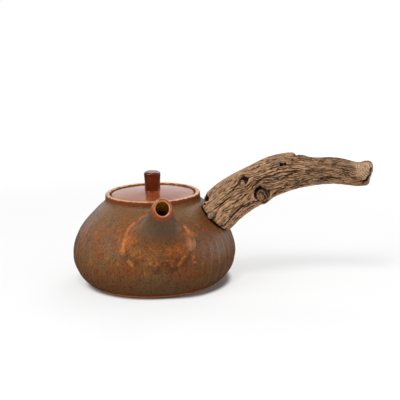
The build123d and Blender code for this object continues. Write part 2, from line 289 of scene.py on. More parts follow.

# %% [markdown]
# The floor is one large sheet. It takes the pot's shadow like any matt surface. For the camera
# alone it also glows, least next to the foot, where the shadow is deepest, and most far away,
# so that it fades into the white. Held back round the foot, the glow leaves a painted shadow
# there, which reaches further out on the side away from the key lamp. Mirrored in the glaze the
# floor looks dim, as in a photograph that is taken with a polarising filter, which keeps the
# glaze's own colours deep.
# %% Floor
floor_reach = 4.0
floor_pale = 0.8
floor_mirrored = 0.12
floor_grey = 0.42
floor_glow = 0.55
shadow_edge = 41.7 * MM, 46.6 * MM
sheltered_side = 12 * MM, 36 * MM
sheltered_shift = 4.5 * MM
far_away = 0.2, 0.9


def grey_of(wire, level):
    """Grey of the given level, as a colour."""
    return wire.node("CombineColor", None, {0: level, 1: level, 2: level})


def floor_paper():
    """Finish of the floor: pale and matt, and part shadow, part glow to the camera."""
    finish, wire = start_finish("floor_paper")
    place = object_place(wire)
    away = wire.node("VectorMath", {"operation": "LENGTH"}, {0: place}, out="Value")
    # painted shadow round the foot: the glow is held back there, and further out on the right
    sheltered = soft_step(coordinate(wire, place, "X"), *sheltered_side)
    glow = soft_step(away - sheltered * sheltered_shift, *shadow_edge) * floor_glow
    glow = glow + soft_step(away, *far_away) * (1 - floor_glow)
    shiny = wire.node("LightPath", out="Is Glossy Ray")
    mirrored = floor_pale - shiny * (floor_pale - floor_mirrored)
    paper = wire.node("BsdfDiffuse", None, {"Color": grey_of(wire, mirrored)})
    grey = wire.node("BsdfDiffuse", None, {"Color": (floor_grey, floor_grey, floor_grey, 1)})
    light = wire.node("Emission", None, {"Color": grey_of(wire, glow)})
    shown = wire.node("AddShader", None, {0: grey, 1: light})
    seen = wire.node("LightPath", out="Is Camera Ray")
    both = wire.node("MixShader", None, {0: seen, 1: paper, 2: shown})
    wire.node("OutputMaterial", None, {"Surface": both})
    return finish


def lay_floor():
    """A square sheet under the pot."""
    mesh = bpy.data.meshes.new("floor")
    edge = floor_reach
    corners = [(-edge, -edge, 0), (edge, -edge, 0), (edge, edge, 0), (-edge, edge, 0)]
    mesh.from_pydata(corners, [], [(0, 1, 2, 3)])
    floor = bpy.data.objects.new("floor", mesh)
    scene.collection.objects.link(floor)
    mesh.materials.append(floor_paper())


lay_floor()
print("floor laid,", 2 * floor_reach, "m wide")

# %% [markdown]
# Every new piece is a grid of points: rings of the same number of points, one after another.
# That suits turned clay as well as wood, and whole arrays are worked out at once. The first
# helper turns rings into a mesh. It closes each end with one pole point, or joins the last ring
# to the first, and it measures the volume: if that is negative, the faces look inwards, and
# they are all turned round.
# %% Rings into a mesh


def grid_faces(rows, columns, joined):
    """Four-sided faces between neighbouring rings; joined adds those from the last to the first."""
    row = np.arange(rows if joined else rows - 1)[:, None]
    column = np.arange(columns)[None, :]
    after = (row + 1) % rows
    beside = (column + 1) % columns
    near, far = row * columns, after * columns
    corners = (near + column, near + beside, far + beside, far + column)
    return np.stack(np.broadcast_arrays(*corners), axis=-1).reshape(-1, 4)


def fan_faces(ring, pole):
    """Three-sided faces from the points of one ring to a pole."""
    return np.stack([ring, np.roll(ring, -1), np.full_like(ring, pole)], axis=-1)


def volume_of(points, faces):
    """Volume inside a closed surface: a sixth of the summed triple products of its triangles."""
    fans = [faces[:, (0, k, k + 1)] for k in range(1, faces.shape[1] - 1)]
    corners = points[np.concatenate(fans)]
    return np.einsum("ij,ij->", corners[:, 0], np.cross(corners[:, 1], corners[:, 2])) / 6


def mesh_of(name, rings, poles=None):
    """Closed mesh of a (rings, points, 3) array, with a pole at each end or joined end to end."""
    rows, columns = rings.shape[:2]
    points = rings.reshape(-1, 3)
    quads = grid_faces(rows, columns, poles is None)
    fans = np.empty((0, 3), dtype=int)
    if poles is not None:
        first = np.arange(columns)
        last = first + (rows - 1) * columns
        points = np.concatenate([points, np.array(poles)])
        ends = fan_faces(first, len(points) - 2)[:, ::-1], fan_faces(last, len(points) - 1)
        fans = np.concatenate(ends)
    volume = volume_of(points, quads) + (volume_of(points, fans) if len(fans) else 0)
    if volume < 0:
        quads = quads[:, ::-1]
        fans = fans[:, ::-1]
    mesh = bpy.data.meshes.new(name)
    mesh.from_pydata(points.tolist(), [], quads.tolist() + fans.tolist())
    mesh.shade_smooth()
    print(f"{name}: {len(points)} points, {len(quads) * 2 + len(fans)} triangles,", end=" ")
    print(f"{abs(volume) / MM ** 3:.0f} cubic mm")
    return mesh


print("a grid of 3 by 4 points has", len(grid_faces(3, 4, False)), "faces")

# %% [markdown]
# A piece is that mesh on an object at the origin. It rides on a CAD body, stands for the CAD
# nodes that it hides, and carries its finish. Numbers that were worked out per point, such as
# how deep a crack is there, go along as attributes, so that the colour can follow the carving
# exactly.
# %% Meshes into pieces


def add_piece(mesh, body, finish, replaced):
    """Object of a mesh, on a CAD body, with its finish, in place of the replaced nodes."""
    piece = bpy.data.objects.new(mesh.name, mesh)
    scene.collection.objects.link(piece)
    mesh.materials.append(finish)
    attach(piece, body)
    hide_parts(*replaced)
    return piece


def add_values(mesh, name, values):
    """Stores a number, or a vector of three, for each point; the poles get zero."""
    flat = np.asarray(values, dtype=float)
    vector = flat.ndim == 3
    flat = flat.reshape(-1, 3) if vector else flat.reshape(-1)
    spare = len(mesh.vertices) - len(flat)
    flat = np.concatenate([flat, np.zeros((spare, *flat.shape[1:]))])
    made = mesh.attributes.new(name, "FLOAT_VECTOR" if vector else "FLOAT", "POINT")
    made.data.foreach_set("vector" if vector else "value", flat.astype(np.float32).ravel())


# %% [markdown]
# A spline carries rings or profile points smoothly through a few stations, as a CAD loft does,
# so a few measured sections are enough for a long, swelling form.
# %% Splines


def spline_rows(stations, places, start=None, end=None):
    """Rows of a cubic spline through stations, at places from 0 to 1 of its mean length.

    Between two stations the second derivative runs in a straight line, and the rows are what
    that adds up to. The derivatives at the stations follow from one linear system. An end is
    straight where no direction is given for it, and otherwise leaves along that unit direction.
    """
    flat = stations.reshape(len(stations), -1)
    steps = np.linalg.norm(np.diff(stations, axis=0), axis=-1)
    spans = steps.reshape(len(flat) - 1, -1).mean(axis=1)
    knots = np.concatenate([[0], np.cumsum(spans)])
    slopes = np.diff(flat, axis=0) / spans[:, None]
    system = np.eye(len(flat))
    pull = np.zeros_like(flat)
    for i in range(1, len(flat) - 1):
        system[i, i - 1 : i + 2] = spans[i - 1], 2 * (spans[i - 1] + spans[i]), spans[i]
        pull[i] = 6 * (slopes[i] - slopes[i - 1])
    if start is not None:
        system[0, :2] = 2 * spans[0], spans[0]
        pull[0] = 6 * (slopes[0] - np.array(start))
    if end is not None:
        system[-1, -2:] = spans[-1], 2 * spans[-1]
        pull[-1] = 6 * (np.array(end) - slopes[-1])
    bend = np.linalg.solve(system, pull)
    place = np.asarray(places) * knots[-1]
    k = np.clip(np.searchsorted(knots, place, side="right") - 1, 0, len(spans) - 1)
    span = spans[k][:, None]
    before = knots[k + 1][:, None] - place[:, None]
    after = place[:, None] - knots[k][:, None]
    rows = (bend[k] * before**3 + bend[k + 1] * after**3) / (6 * span)
    rows += (flat[k] / span - bend[k] * span / 6) * before
    rows += (flat[k + 1] / span - bend[k + 1] * span / 6) * after
    return rows.reshape(len(place), *stations.shape[1:])


hump = spline_rows(np.array([(0.0, 0.0), (1.0, 1.0), (2.0, 0.0)]), [0, 0.25, 0.5])
print("a spline over a hump passes", hump.round(2).tolist())

# %% [markdown]
# A lattice of random numbers, blended smoothly, gives the unevenness of hand-made things. Its
# numbers come from a seed, so each run is alike. A smooth ramp fades one form into another, and
# the distance to a bent line says where a brush or a crack has passed.
# %% Unevenness, ramps and lines


def unevenness(place, cell, seed):
    """Smooth random field from -1 to 1: a lattice of random values, blended by smooth steps."""
    sides = place.shape[-1]
    lattice = np.random.default_rng(seed).uniform(-1, 1, (32,) * sides)
    low = np.floor(place / cell).astype(int)
    part = place / cell - low
    part = part * part * (3 - 2 * part)
    total = 0
    for corner in np.ndindex((2,) * sides):
        weight = np.prod(np.where(corner, part, 1 - part), axis=-1)
        total = total + weight * lattice[tuple(np.moveaxis((low + corner) % 32, -1, 0))]
    return total


def ramp_up(value, low, high):
    """0 below low, 1 above high, and a smooth step between; falls instead if low is over high."""
    part = np.clip((value - low) / (high - low), 0, 1)
    return part * part * (3 - 2 * part)


def line_distance(place, line):
    """Distance from 2-D places to a bent line, and how far along it they are, from 0 to 1."""
    line = np.asarray(line, dtype=float)
    lengths = np.linalg.norm(np.diff(line, axis=0), axis=1)
    ends = np.concatenate([[0], np.cumsum(lengths)]) / lengths.sum()
    nearest = np.full(place.shape[:-1], np.inf)
    along = np.zeros(place.shape[:-1])
    for i in range(len(lengths)):
        step = line[i + 1] - line[i]
        share = np.clip(((place - line[i]) @ step) / lengths[i] ** 2, 0, 1)
        distance = np.linalg.norm(place - line[i] - share[..., None] * step, axis=-1)
        along = np.where(distance < nearest, ends[i] + share * (ends[i + 1] - ends[i]), along)
        nearest = np.minimum(distance, nearest)
    return nearest, along


print("unevenness at one place:", round(float(unevenness(np.array([0.1, 0.2, 0.3]), 1.0, 7)), 3))

# %% [markdown]
# ## The turned forms
#
# Pot, lid and knob are turned on a wheel, so each is a half profile carried round the axis.
# A profile of straight runs with rounded corners covers feet, ledges and rims: each corner is
# replaced by a short curve that leaves one run and joins the next.
# %% Profiles and turning


def rounded_line(corners, rounding, samples=5):
    """Profile points along straight runs, each inner corner replaced by a quadratic curve."""
    corners = np.asarray(corners, dtype=float)
    rows = [corners[:1]]
    share = np.linspace(0, 1, samples)[:, None]
    for before, corner, after in zip(corners[:-2], corners[1:-1], corners[2:]):
        reach = [min(rounding, np.linalg.norm(side - corner) * 0.45) for side in (before, after)]
        first = corner + (before - corner) / np.linalg.norm(before - corner) * reach[0]
        last = corner + (after - corner) / np.linalg.norm(after - corner) * reach[1]
        rows.append((1 - share) ** 2 * first + 2 * share * (1 - share) * corner + share**2 * last)
    rows.append(corners[-1:])
    return np.concatenate(rows)


def arc_rows(centre, radius, start, end, samples):
    """Profile points on an arc, from the start angle to the end angle in degrees."""
    angle = np.radians(np.linspace(start, end, samples))
    out, up = centre[0] + radius * np.cos(angle), centre[1] + radius * np.sin(angle)
    return np.stack([out, up], axis=-1)


def turned(profile, angles):
    """Rings of a profile of (radius, height) points, carried round the upright axis."""
    radius, height = profile.T[:, :, None]
    x, y = radius * np.cos(angles), radius * np.sin(angles)
    return np.stack([x, y, height + 0 * angles], axis=-1)


def outward(rings):
    """Unit normals of a grid of rings: the step round the ring crossed with the step along."""
    along = np.gradient(rings, axis=0)
    around = np.roll(rings, -1, axis=1) - np.roll(rings, 1, axis=1)
    normal = np.cross(around, along)
    return normal / np.linalg.norm(normal, axis=-1, keepdims=True)


print("a rounded step has", len(rounded_line([(0, 0), (1, 0), (1, 1)], 0.2)), "points")

# %% [markdown]
# The pot's outline starts at the foot, swells to the belly in one arc, and runs up the shoulder
# in a spline with a slight hollow before the collar. These are the CAD model's own sizes. The
# wall inside follows at the same thickness, with the ledge that carries the lid.
# %% Pot profile
belly_radius = 52.5 * MM
belly_height = 19.5 * MM
foot_radius = 40.6 * MM
collar_foot = np.array([31.0, 53.0]) * MM
rim_radius = 30.0 * MM
pot_height = 58.2 * MM
rim_wall = 2.8 * MM
rim_flare = 0.4 * MM
rim_rounding = 1.3 * MM
wall = 3.2 * MM
floor_thickness = 4.0 * MM
ledge_height = 54.6 * MM
ledge_radius = 24.0 * MM
ledge_thickness = 2.4 * MM
shoulder_shares = np.array([(0.167, 0.409), (0.54, 0.725)])
shoulder_end = (-0.8, 0.6)
belly_arc = (foot_radius - belly_radius) ** 2 + belly_height**2
belly_arc = belly_arc / (2 * (belly_radius - foot_radius))
belly_drop = math.degrees(math.asin(belly_height / belly_arc))


def shoulder_rows(widest, top, samples):
    """Profile points of a shoulder, from its widest place to its top."""
    stations = np.array([widest, *(widest + (top - widest) * shoulder_shares), top])
    return spline_rows(stations, np.linspace(0, 1, samples), start=(0, 1), end=shoulder_end)


def pot_outside():
    """Outer profile: foot, belly arc, shoulder, collar with its soft inner corner, and rim."""
    base = [(18 * MM, 0), (34 * MM, 0), (39.4 * MM, 0), (40.2 * MM, 0.05 * MM)]
    middle = (belly_radius - belly_arc, belly_height)
    belly = arc_rows(middle, belly_arc, 0.8 - belly_drop, 0, 42)
    shoulder = shoulder_rows(np.array([belly_radius, belly_height]), collar_foot, 66)
    rim_half = (rim_wall + rim_flare) / 2
    rim_middle = rim_radius + rim_flare - rim_half
    rim_foot = pot_height - rim_rounding
    collar_top = (rim_radius + 0.05 * MM, rim_foot - 0.6 * MM)
    corner = rounded_line([shoulder[-4], collar_foot, collar_top], 9 * MM, 9)
    sweep = np.radians(np.linspace(0, 180, 15))
    rim = [rim_middle + rim_half * np.cos(sweep), rim_foot + rim_rounding * np.sin(sweep)]
    return np.concatenate([base, belly, shoulder[1:-4], corner[1:-1], np.stack(rim, axis=-1)])


def pot_inside():
    """Inner profile: seat of the lid, neck, chamber and floor, from the rim down."""
    inner_rim = rim_radius - rim_wall
    neck_foot = np.array([ledge_radius, ledge_height - ledge_thickness])
    steps = [(inner_rim, pot_height - 2 * MM), (inner_rim, ledge_height)]
    steps += [(ledge_radius, ledge_height), neck_foot]
    seat = rounded_line(steps, 0.35 * MM, 3)
    widest = np.array([belly_radius - wall, belly_height])
    shoulder = shoulder_rows(widest, neck_foot, 18)[::-1]
    floor_edge = foot_radius - wall
    run, rise = widest[0] - floor_edge, widest[1] - floor_thickness
    arc = (run**2 + rise**2) / (2 * run)
    drop = math.degrees(math.asin(rise / arc))
    chamber = arc_rows((widest[0] - arc, widest[1]), arc, 0, -drop, 9)
    floor = [(floor_edge - 3 * MM, floor_thickness), (18 * MM, floor_thickness)]
    return np.concatenate([seat, shoulder[1:], chamber[1:], floor])


outside = pot_outside()
pot_profile_line = outside[outside[:, 1] < collar_foot[1]][3:]
inside = pot_inside()
print("pot profile:", len(outside), "rings outside and", len(inside), "inside")

# %% [markdown]
# The spout's foot covers part of the shoulder, so its place is needed before the wall is
# worked. The foot is an oval in the plane of the shoulder. Measured in that plane, a point's
# distance from the oval's middle is 1 on its edge and more outside it. Every rise is a climb
# above the level, in degrees.
# %% Place of the spout
spout_angle = math.radians(-75)
spout_out = np.array([math.cos(spout_angle), math.sin(spout_angle), 0])
spout_side = np.array([-spout_out[1], spout_out[0], 0])
upright = np.array([0, 0, 1.0])
spout_root = spout_out * 44.66 * MM + upright * 39.37 * MM
mouth_point = spout_root + spout_out * 23.1 * MM + upright * 23.6 * MM
mouth_rise = 35.6
bend_radius = 95.1 * MM
spout_length = 33.2 * MM
flare_root = spout_out * 45.92 * MM + upright * 37.74 * MM
flare_half = 20.5, 16.0  # in millimetres
flare_rise = 36.7
mouth_cut_rise = 25.0
behind = 9.0


def heading(rise):
    """Unit direction along the spout's azimuth that climbs by an angle in degrees."""
    return spout_out * math.cos(math.radians(rise)) + upright * math.sin(math.radians(rise))


def flare_distance(points):
    """Distance from the middle of the spout's foot, in shares of its oval's half sizes.

    The same plane also meets the back of the pot, so points there are moved far away.
    """
    away = points - flare_root
    up = np.cross(heading(flare_rise), spout_side)
    side, rise = away @ spout_side / (flare_half[0] * MM), away @ up / (flare_half[1] * MM)
    return np.hypot(side, rise) + behind * (points[..., 1] > 0)


print("spout foot at", (flare_root / MM).round(1).tolist(), "mm")

# %% [markdown]
# The potter carved nearly fifty shallow flutes into the leather-hard belly, from the foot up to
# where the shoulder flattens. Each is a scoop between two crisp arrises, and no two are alike.
# The radius drops inside each scoop by a parabola, and the depth fades out at both ends.
# %% Fluted pot wall
flute_count = 47
flute_depth = 0.5 * MM
pot_columns = 576
pot_angles = np.linspace(0, 2 * np.pi, pot_columns, endpoint=False)


def flute_field(rings, seed=11):
    """Depth of the scoops, from 0 to 1, and closeness to an arris, from 0 to 1."""
    random = np.random.default_rng(seed)
    turn = np.arange(flute_count) + random.uniform(-0.2, 0.2, flute_count)
    arris = np.concatenate([turn, turn[:1] + flute_count]) * 2 * np.pi / flute_count
    depths = random.uniform(0.45, 1.0, flute_count)
    tops = random.uniform(41, 49, flute_count) * MM
    angle = np.arctan2(rings[..., 1], rings[..., 0]) + 0.035 * unevenness(rings, 30 * MM, seed)
    angle = (angle - arris[0]) % (2 * np.pi) + arris[0]
    number = np.interp(angle, arris, np.arange(flute_count + 1))
    which = np.clip(number.astype(int), 0, flute_count - 1)
    share = number - which
    height = rings[..., 2]
    reach = ramp_up(height, tops[which], tops[which] - 12 * MM) * ramp_up(height, 0.5 * MM, 5 * MM)
    scoop = 4 * share * (1 - share)
    return scoop * depths[which] * reach, (1 - scoop) ** 5 * reach


def worked_pot():
    """Rings of the pot, pushed in by flutes, soft dents and throwing marks, and its attributes.

    The push fades out at the foot, at the rim and under the spout, where other clay is joined.
    """
    rings = turned(np.concatenate([outside, inside]), pot_angles)
    skin = np.arange(len(rings))[:, None] < len(outside)
    scoop, arris = flute_field(rings)
    height = rings[..., 2]
    push = -flute_depth * scoop
    push -= 0.10 * MM * (1 + unevenness(rings, 9 * MM, 3)) * ramp_up(height, 3 * MM, 12 * MM)
    level = np.stack([height * 0, height * 0, height], axis=-1)
    marks = level + 0.6 * MM * unevenness(rings, 25 * MM, 5)[..., None]
    push -= 0.07 * MM * (1 + unevenness(marks, 1.7 * MM, 4)) * ramp_up(height, 36 * MM, 48 * MM)
    open_wall = ramp_up(flare_distance(rings), 1.08, 1.45)
    foot, rim = ramp_up(height, 0, 2.5 * MM), ramp_up(height, 58 * MM, 55 * MM)
    push = push * skin * foot * rim * open_wall
    rings = rings + outward(rings) * push[..., None]
    return rings, scoop * skin * open_wall, arris * skin * open_wall


pot_rings, pot_scoop, pot_arris = worked_pot()
print("deepest flute:", round(float(pot_scoop.max() * flute_depth / MM), 2), "mm")

# %% [markdown]
# Where clay was luted or wiped, the glaze ran thin and fired to orange: arcs round the foot of
# the spout, short smears beside them, and bands low on the flare. Each plan is a bent line, given
# in millimetres as seen from the front, its width and its strength. A bell curve of the distance
# to the line says how strong the stroke is at each point.
# %% Orange strokes
stroke_plans = (
    (((3.5, 50.9), (0.1, 50.1), (-1.9, 49.0), (-3.6, 47.8)), 0.8, 0.75),
    (((-3.6, 47.8), (-6.1, 45.8), (-7.9, 44.2), (-9.2, 41.6), (-9.9, 38.6)), 0.9, 0.85),
    (((-9.0, 42.0), (-9.9, 38.6), (-10.4, 35.9), (-10.5, 32.7), (-10.7, 29.8)), 1.1, 1.1),
    (((-12.6, 32.6), (-11.4, 30.9), (-10.3, 30.4)), 1.1, 0.8),
    (((-7.4, 27.0), (-5.8, 25.2), (-3.8, 23.4)), 1.2, 0.8),
    (((-13.4, 26.4), (-13.9, 22.9)), 0.9, 0.5),
    (((19.6, 47.8), (21.3, 45.8), (23.6, 43.4)), 0.9, 0.7),
    (((24.3, 44.9), (27.2, 41.6), (29.2, 39.7), (31.4, 38.3), (33.6, 36.6)), 1.0, 0.6),
    (((27.8, 39.6), (29.2, 36.6), (29.8, 34.2), (29.4, 31.6), (28.0, 30.4)), 0.8, 0.55),
    (((30.3, 29.2), (31.4, 27.2), (30.3, 25.4)), 1.1, 0.7),
    (((30.8, 23.9), (33.2, 23.4)), 1.3, 0.6),
    (((27.7, 29.8), (26.0, 27.5), (24.3, 25.0), (22.4, 21.8)), 0.9, 0.75),
)


def in_front(points):
    """True for points in front of the pot's middle, where the photographed marks are."""
    return points[..., 1] < -20 * MM


def strokes(points):
    """Strength of the orange strokes at points in front of the pot, from 0 to 1."""
    seen = points[..., (0, 2)] / MM
    wobble = np.stack([unevenness(points, 4 * MM, 21), unevenness(points, 4 * MM, 22)], axis=-1)
    total = np.zeros(points.shape[:-1])
    for line, width, strength in stroke_plans:
        distance, along = line_distance(seen + 0.5 * wobble, line)
        ends = ramp_up(along, 0, 0.12) * ramp_up(along, 1, 0.85)
        bell = np.exp(-((distance / width) ** 2))
        total = np.maximum(total, strength * (0.3 + 0.7 * ends) * bell)
    return np.minimum(total, 1) * in_front(points)


def low_in_front(points):
    """1 on the front where the lower edge of the spout's foot runs, and 0 higher up."""
    return ramp_up(points[..., 2], 34 * MM, 27 * MM) * in_front(points)


def flare_seam(points):
    """Where the shoulder meets the lower edge of the spout's foot, from 0 to 1."""
    return ramp_up(flare_distance(points), 1.34, 1.06) * low_in_front(points)


pot_stroke = strokes(pot_rings)
pot_seam = flare_seam(pot_rings)
print("points under orange strokes:", int((pot_stroke > 0.5).sum()))

# %% [markdown]
# The glaze on the body is a satin brown that breaks. It is grey-olive and smooth on the
# shoulder, redder and mottled on the belly, paler on the arrises, and flecked with rust in
# streaks that run down the wall. The collar is red-brown, the rim cream, and the bare clay at
# the foot is a thin orange line. Layers of noise in these sizes are blended one over another.
# %% Body glaze
glaze_brown = shade(134, 78, 34)
glaze_olive = shade(118, 90, 56)
glaze_dark = shade(58, 36, 22)
glaze_plum = shade(110, 66, 46)
# colour of the painted shade on both sides, on the lowest part and along the seam under the spout
painted_shade_brown = shade(60, 41, 28)
glaze_rust = shade(204, 108, 38)
# pale glaze: real grit and worn arrises, and also painted highlights on the flanks and painted
# glints
glaze_pale = shade(184, 150, 120)
arc_orange = shade(208, 118, 48)
collar_red = shade(116, 56, 26)
rim_cream = shade(216, 158, 88)
bare_clay = shade(224, 142, 84)


def glaze_ground(wire, place):
    """Brown ground of the glaze, from large cloudy patches down to fine mottling."""
    wide = patches(wire, place, 17 * MM, 4)
    medium = patches(wire, place, 5 * MM, 5, 0.6, (1, 1, 2.2))
    fine = patches(wire, place, 1.1 * MM, 5, 0.72, (1, 1, 1.4))
    # the pale specks are painted glints, standing in for tiny highlights on the uneven glaze
    glint_specks = patches(wire, place, 1.4 * MM, 4, 0.75)
    colour = blend(wire, glaze_brown, glaze_olive, soft_step(wide, 0.40, 0.62) * 0.85)
    colour = blend(wire, colour, glaze_plum, soft_step(medium, 0.5, 0.68) * 0.6)
    colour = blend(wire, colour, glaze_dark, soft_step(fine, 0.48, 0.64) * 0.72)
    colour = blend(wire, colour, glaze_pale, soft_step(glint_specks, 0.56, 0.72) * 0.36)
    return colour, medium, fine


def rust_flecks(wire, place, height):
    """Rust flecks in streaks that run down the wall, thickest across the belly."""
    streaks = patches(wire, place, 1.6 * MM, 5, 0.7, (1, 1, 2.6))
    clouds = patches(wire, place, 9 * MM, 4, 0.6, (1, 1, 2))
    belly = soft_step(height, 12 * MM, 25 * MM) * (1 - soft_step(height, 40 * MM, 50 * MM))
    return soft_step(streaks, 0.48, 0.70) * soft_step(clouds, 0.44, 0.62) * (belly * 0.6 + 0.12)


def seam_painted_shade(wire, medium):
    """Painted shade along the lower edge of the spout's foot, broken up by the mottling."""
    return stored(wire, "seam") * soft_step(medium, 0.3, 0.6) * 0.6


def with_strokes(wire, place, colour):
    """A colour with the orange strokes over it, torn by a fine noise."""
    tearing = soft_step(patches(wire, place, 1.2 * MM, 5, 0.75), 0.36, 0.62)
    torn = stored(wire, "stroke") * (tearing * 0.75 + 0.25)
    return blend(wire, colour, arc_orange, soft_step(torn, 0.06, 0.85) * 0.85)


def glaze_skin(wire, place, fine, depth):
    """Normal of the glaze's skin, which is uneven like the peel of an orange."""
    return bump(wire, patches(wire, place, 1.1 * MM, 3) * 0.6 + fine * 0.4, depth)


print("clay that shows bare is", [round(value, 3) for value in bare_clay[:3]], "in linear light")

# %% [markdown]
# Heights and sides say where each colour of the body belongs. The shoulder is olive, and painted
# shade darkens both sides, the lowest part and the seam under the spout. Rust comes next, then
# the pale arrises, a little worn glaze everywhere and a painted highlight that grows towards the
# flanks, and the strokes. Last come three bands that go all round, with edges that wander a
# little: the collar, the rim and the bare foot.
# %% Body finish
shoulder_band = 44 * MM, 52 * MM
# where the painted shade lies: both sides and the low belly
right_side = 6 * MM, 44 * MM
left_side = -52 * MM, -26 * MM
low_band = 8 * MM, 30 * MM
flank_squares = 0.0011, 0.0023  # squares of 33 mm and 48 mm, in square metres
collar_edge = 55.8 * MM, 57.4 * MM
rim_edge = 58.5 * MM, 58.8 * MM
bare_edge = 1.8 * MM, 2.4 * MM
glaze_ior = 1.32


def body_glaze():
    """Finish of the pot's outside."""
    finish, wire = start_finish("body_glaze")
    place = object_place(wire)
    height = coordinate(wire, place, "Z")
    across = coordinate(wire, place, "X")
    colour, medium, fine = glaze_ground(wire, place)
    shoulder = soft_step(height, *shoulder_band)
    colour = blend(wire, colour, glaze_olive, shoulder * 0.5)
    # painted shade on both sides, on the lowest part and along the seam under the spout
    sides = soft_step(across, *right_side).most(1 - soft_step(across, *left_side))
    low = 1 - soft_step(height, *low_band)
    painted_shade = (sides * (1 - shoulder * 0.6) * 0.42).most(low * 0.36).most(seam_painted_shade(wire, medium))
    colour = blend(wire, colour, painted_shade_brown, painted_shade)
    colour = blend(wire, colour, glaze_rust, rust_flecks(wire, place, height) * (1 - painted_shade))
    # pale arrises: a little worn glaze everywhere, and a painted highlight that grows towards the
    # flanks
    flank = soft_step(across * across, *flank_squares)
    worn = stored(wire, "arris") * soft_step(fine, 0.35, 0.6) * (flank * 0.44 + 0.05)
    colour = with_strokes(wire, place, blend(wire, colour, glaze_pale, worn))
    wander = patches(wire, place, 3 * MM, 3) * (1.6 * MM)
    collar = soft_step(height + wander * 2, *collar_edge)
    colour = blend(wire, colour, collar_red, collar * 0.9)
    colour = blend(wire, colour, rim_cream, soft_step(height + wander, *rim_edge))
    bare = 1 - soft_step(height + wander * 0.4, *bare_edge)
    colour = blend(wire, colour, bare_clay, bare)
    rough = medium * 0.14 + 0.16 - collar * 0.04 + bare * 0.3
    skin = glaze_skin(wire, place, fine, 0.6 * MM)
    return end_finish(finish, wire, Base_Color=colour, Roughness=rough, Normal=skin, IOR=glaze_ior)


pot_finish = body_glaze()
print("body glaze nodes:", len(pot_finish.node_tree.nodes))

# %% [markdown]
# The inside was only washed with a thin dark slip. The strainer dome, which shows when the lid
# is off, has the same finish, and so does the clay stub inside the handle.
# %% Inner clay
clay_brown = shade(104, 66, 44)
clay_shadow = shade(74, 46, 32)


def inner_clay():
    """Finish of the inside: dry brown clay with darker wiping marks."""
    finish, wire = start_finish("inner_clay")
    place = object_place(wire)
    wiping = patches(wire, place, 4 * MM, 4, 0.6, (3, 3, 1))
    grit = patches(wire, place, 0.6 * MM, 3, 0.7)
    colour = blend(wire, clay_brown, clay_shadow, soft_step(wiping, 0.4, 0.65))
    colour = blend(wire, colour, glaze_pale, soft_step(grit, 0.62, 0.75) * 0.4)
    rough = wiping * 0.2 + 0.55
    raised = bump(wire, grit, 0.12 * MM)
    return end_finish(finish, wire, Base_Color=colour, Roughness=rough, Normal=raised)


clay_finish = inner_clay()
print("inner clay nodes:", len(clay_finish.node_tree.nodes))

# %% [markdown]
# The pot's wall is pierced where the spout stands, so that tea can reach it. A round cutter is
# taken away with a Boolean modifier, and its result is kept as the mesh, so that nothing stays
# live. The rim's glaze runs over its crown and a few rows down inside, and from there on the
# inner skin is unglazed: its faces get the inner clay.
# %% Pierced pot
glazed_rows = 6
feed_middle = Vector((11.6, -43.1, 39.4)) * MM
feed_direction = Vector((0.146, -0.546, 0.825))
feed_radius = 11.0 * MM


def cutter_of(middle, direction, radius, length, sides=64):
    """Closed round bar about a middle, along a direction, for cutting holes."""
    frame_turn = direction.to_track_quat("Z", "Y").to_matrix()
    side, up = np.array(frame_turn.col[0]), np.array(frame_turn.col[1])
    angle = np.linspace(0, 2 * np.pi, sides, endpoint=False)[:, None]
    ring = radius * (np.cos(angle) * side + np.sin(angle) * up)
    reach = np.array(direction.normalized()) * length / 2
    ends = np.array(middle) - reach, np.array(middle) + reach
    mesh = mesh_of("cutter", np.stack([ring + ends[0], ring + ends[1]]), ends)
    cutter = bpy.data.objects.new("cutter", mesh)
    scene.collection.objects.link(cutter)
    return cutter


def pierce(piece, cutter):
    """Takes the cutter away from a piece for good, and removes the cutter."""
    modifier = piece.modifiers.new("hole", "BOOLEAN")
    modifier.operation = "DIFFERENCE"
    modifier.solver = "EXACT"
    modifier.object = cutter
    bpy.context.view_layer.update()
    graph = bpy.context.evaluated_depsgraph_get()
    cut = bpy.data.meshes.new_from_object(piece.evaluated_get(graph), depsgraph=graph)
    piece.modifiers.clear()
    name = piece.data.name
    piece.data = cut
    cut.name = name
    bpy.data.objects.remove(cutter)


def make_pot():
    """The pot's wall as one closed piece, with both finishes; the last faces close the floor."""
    mesh = mesh_of("pot_wall", pot_rings, [(0, 0, 0), (0, 0, floor_thickness)])
    values = {"arris": pot_arris, "stroke": pot_stroke, "seam": pot_seam}
    for name, value in values.items():
        add_values(mesh, name, value)
    pot = add_piece(mesh, "pot", pot_finish, ["pot_body"])
    mesh.materials.append(clay_finish)
    lining = np.zeros(len(mesh.polygons), dtype=np.int32)
    first_inner = (len(outside) + glazed_rows) * pot_columns
    last_inner = (len(pot_rings) - 1) * pot_columns
    lining[first_inner:last_inner] = 1
    lining[-pot_columns:] = 1
    mesh.polygons.foreach_set("material_index", lining)
    pierce(pot, cutter_of(feed_middle, feed_direction, feed_radius, 24 * MM))
    return pot


pot = make_pot()
print("pot faces after piercing:", len(pot.data.polygons))

# %% [markdown]
# ## The spout
#
# The spout is a slender neck that flares into a wide foot on the shoulder. Its axis is an arc
# that leans further out as it nears the mouth. Rings of ellipses stand square to that arc, the
# two at the foot lie in the plane of the shoulder, and a spline runs through them all, as in the
# CAD loft. The mouth is sliced at a slant, with a soft lip round it.
# %% Spout stations
def ellipse_ring(middle, direction, half_width, half_height, angles):
    """Ring of an ellipse square to a direction, level across."""
    up = np.cross(direction, spout_side)
    across = np.cos(angles)[:, None] * spout_side * half_width
    return middle + across + np.sin(angles)[:, None] * up * half_height


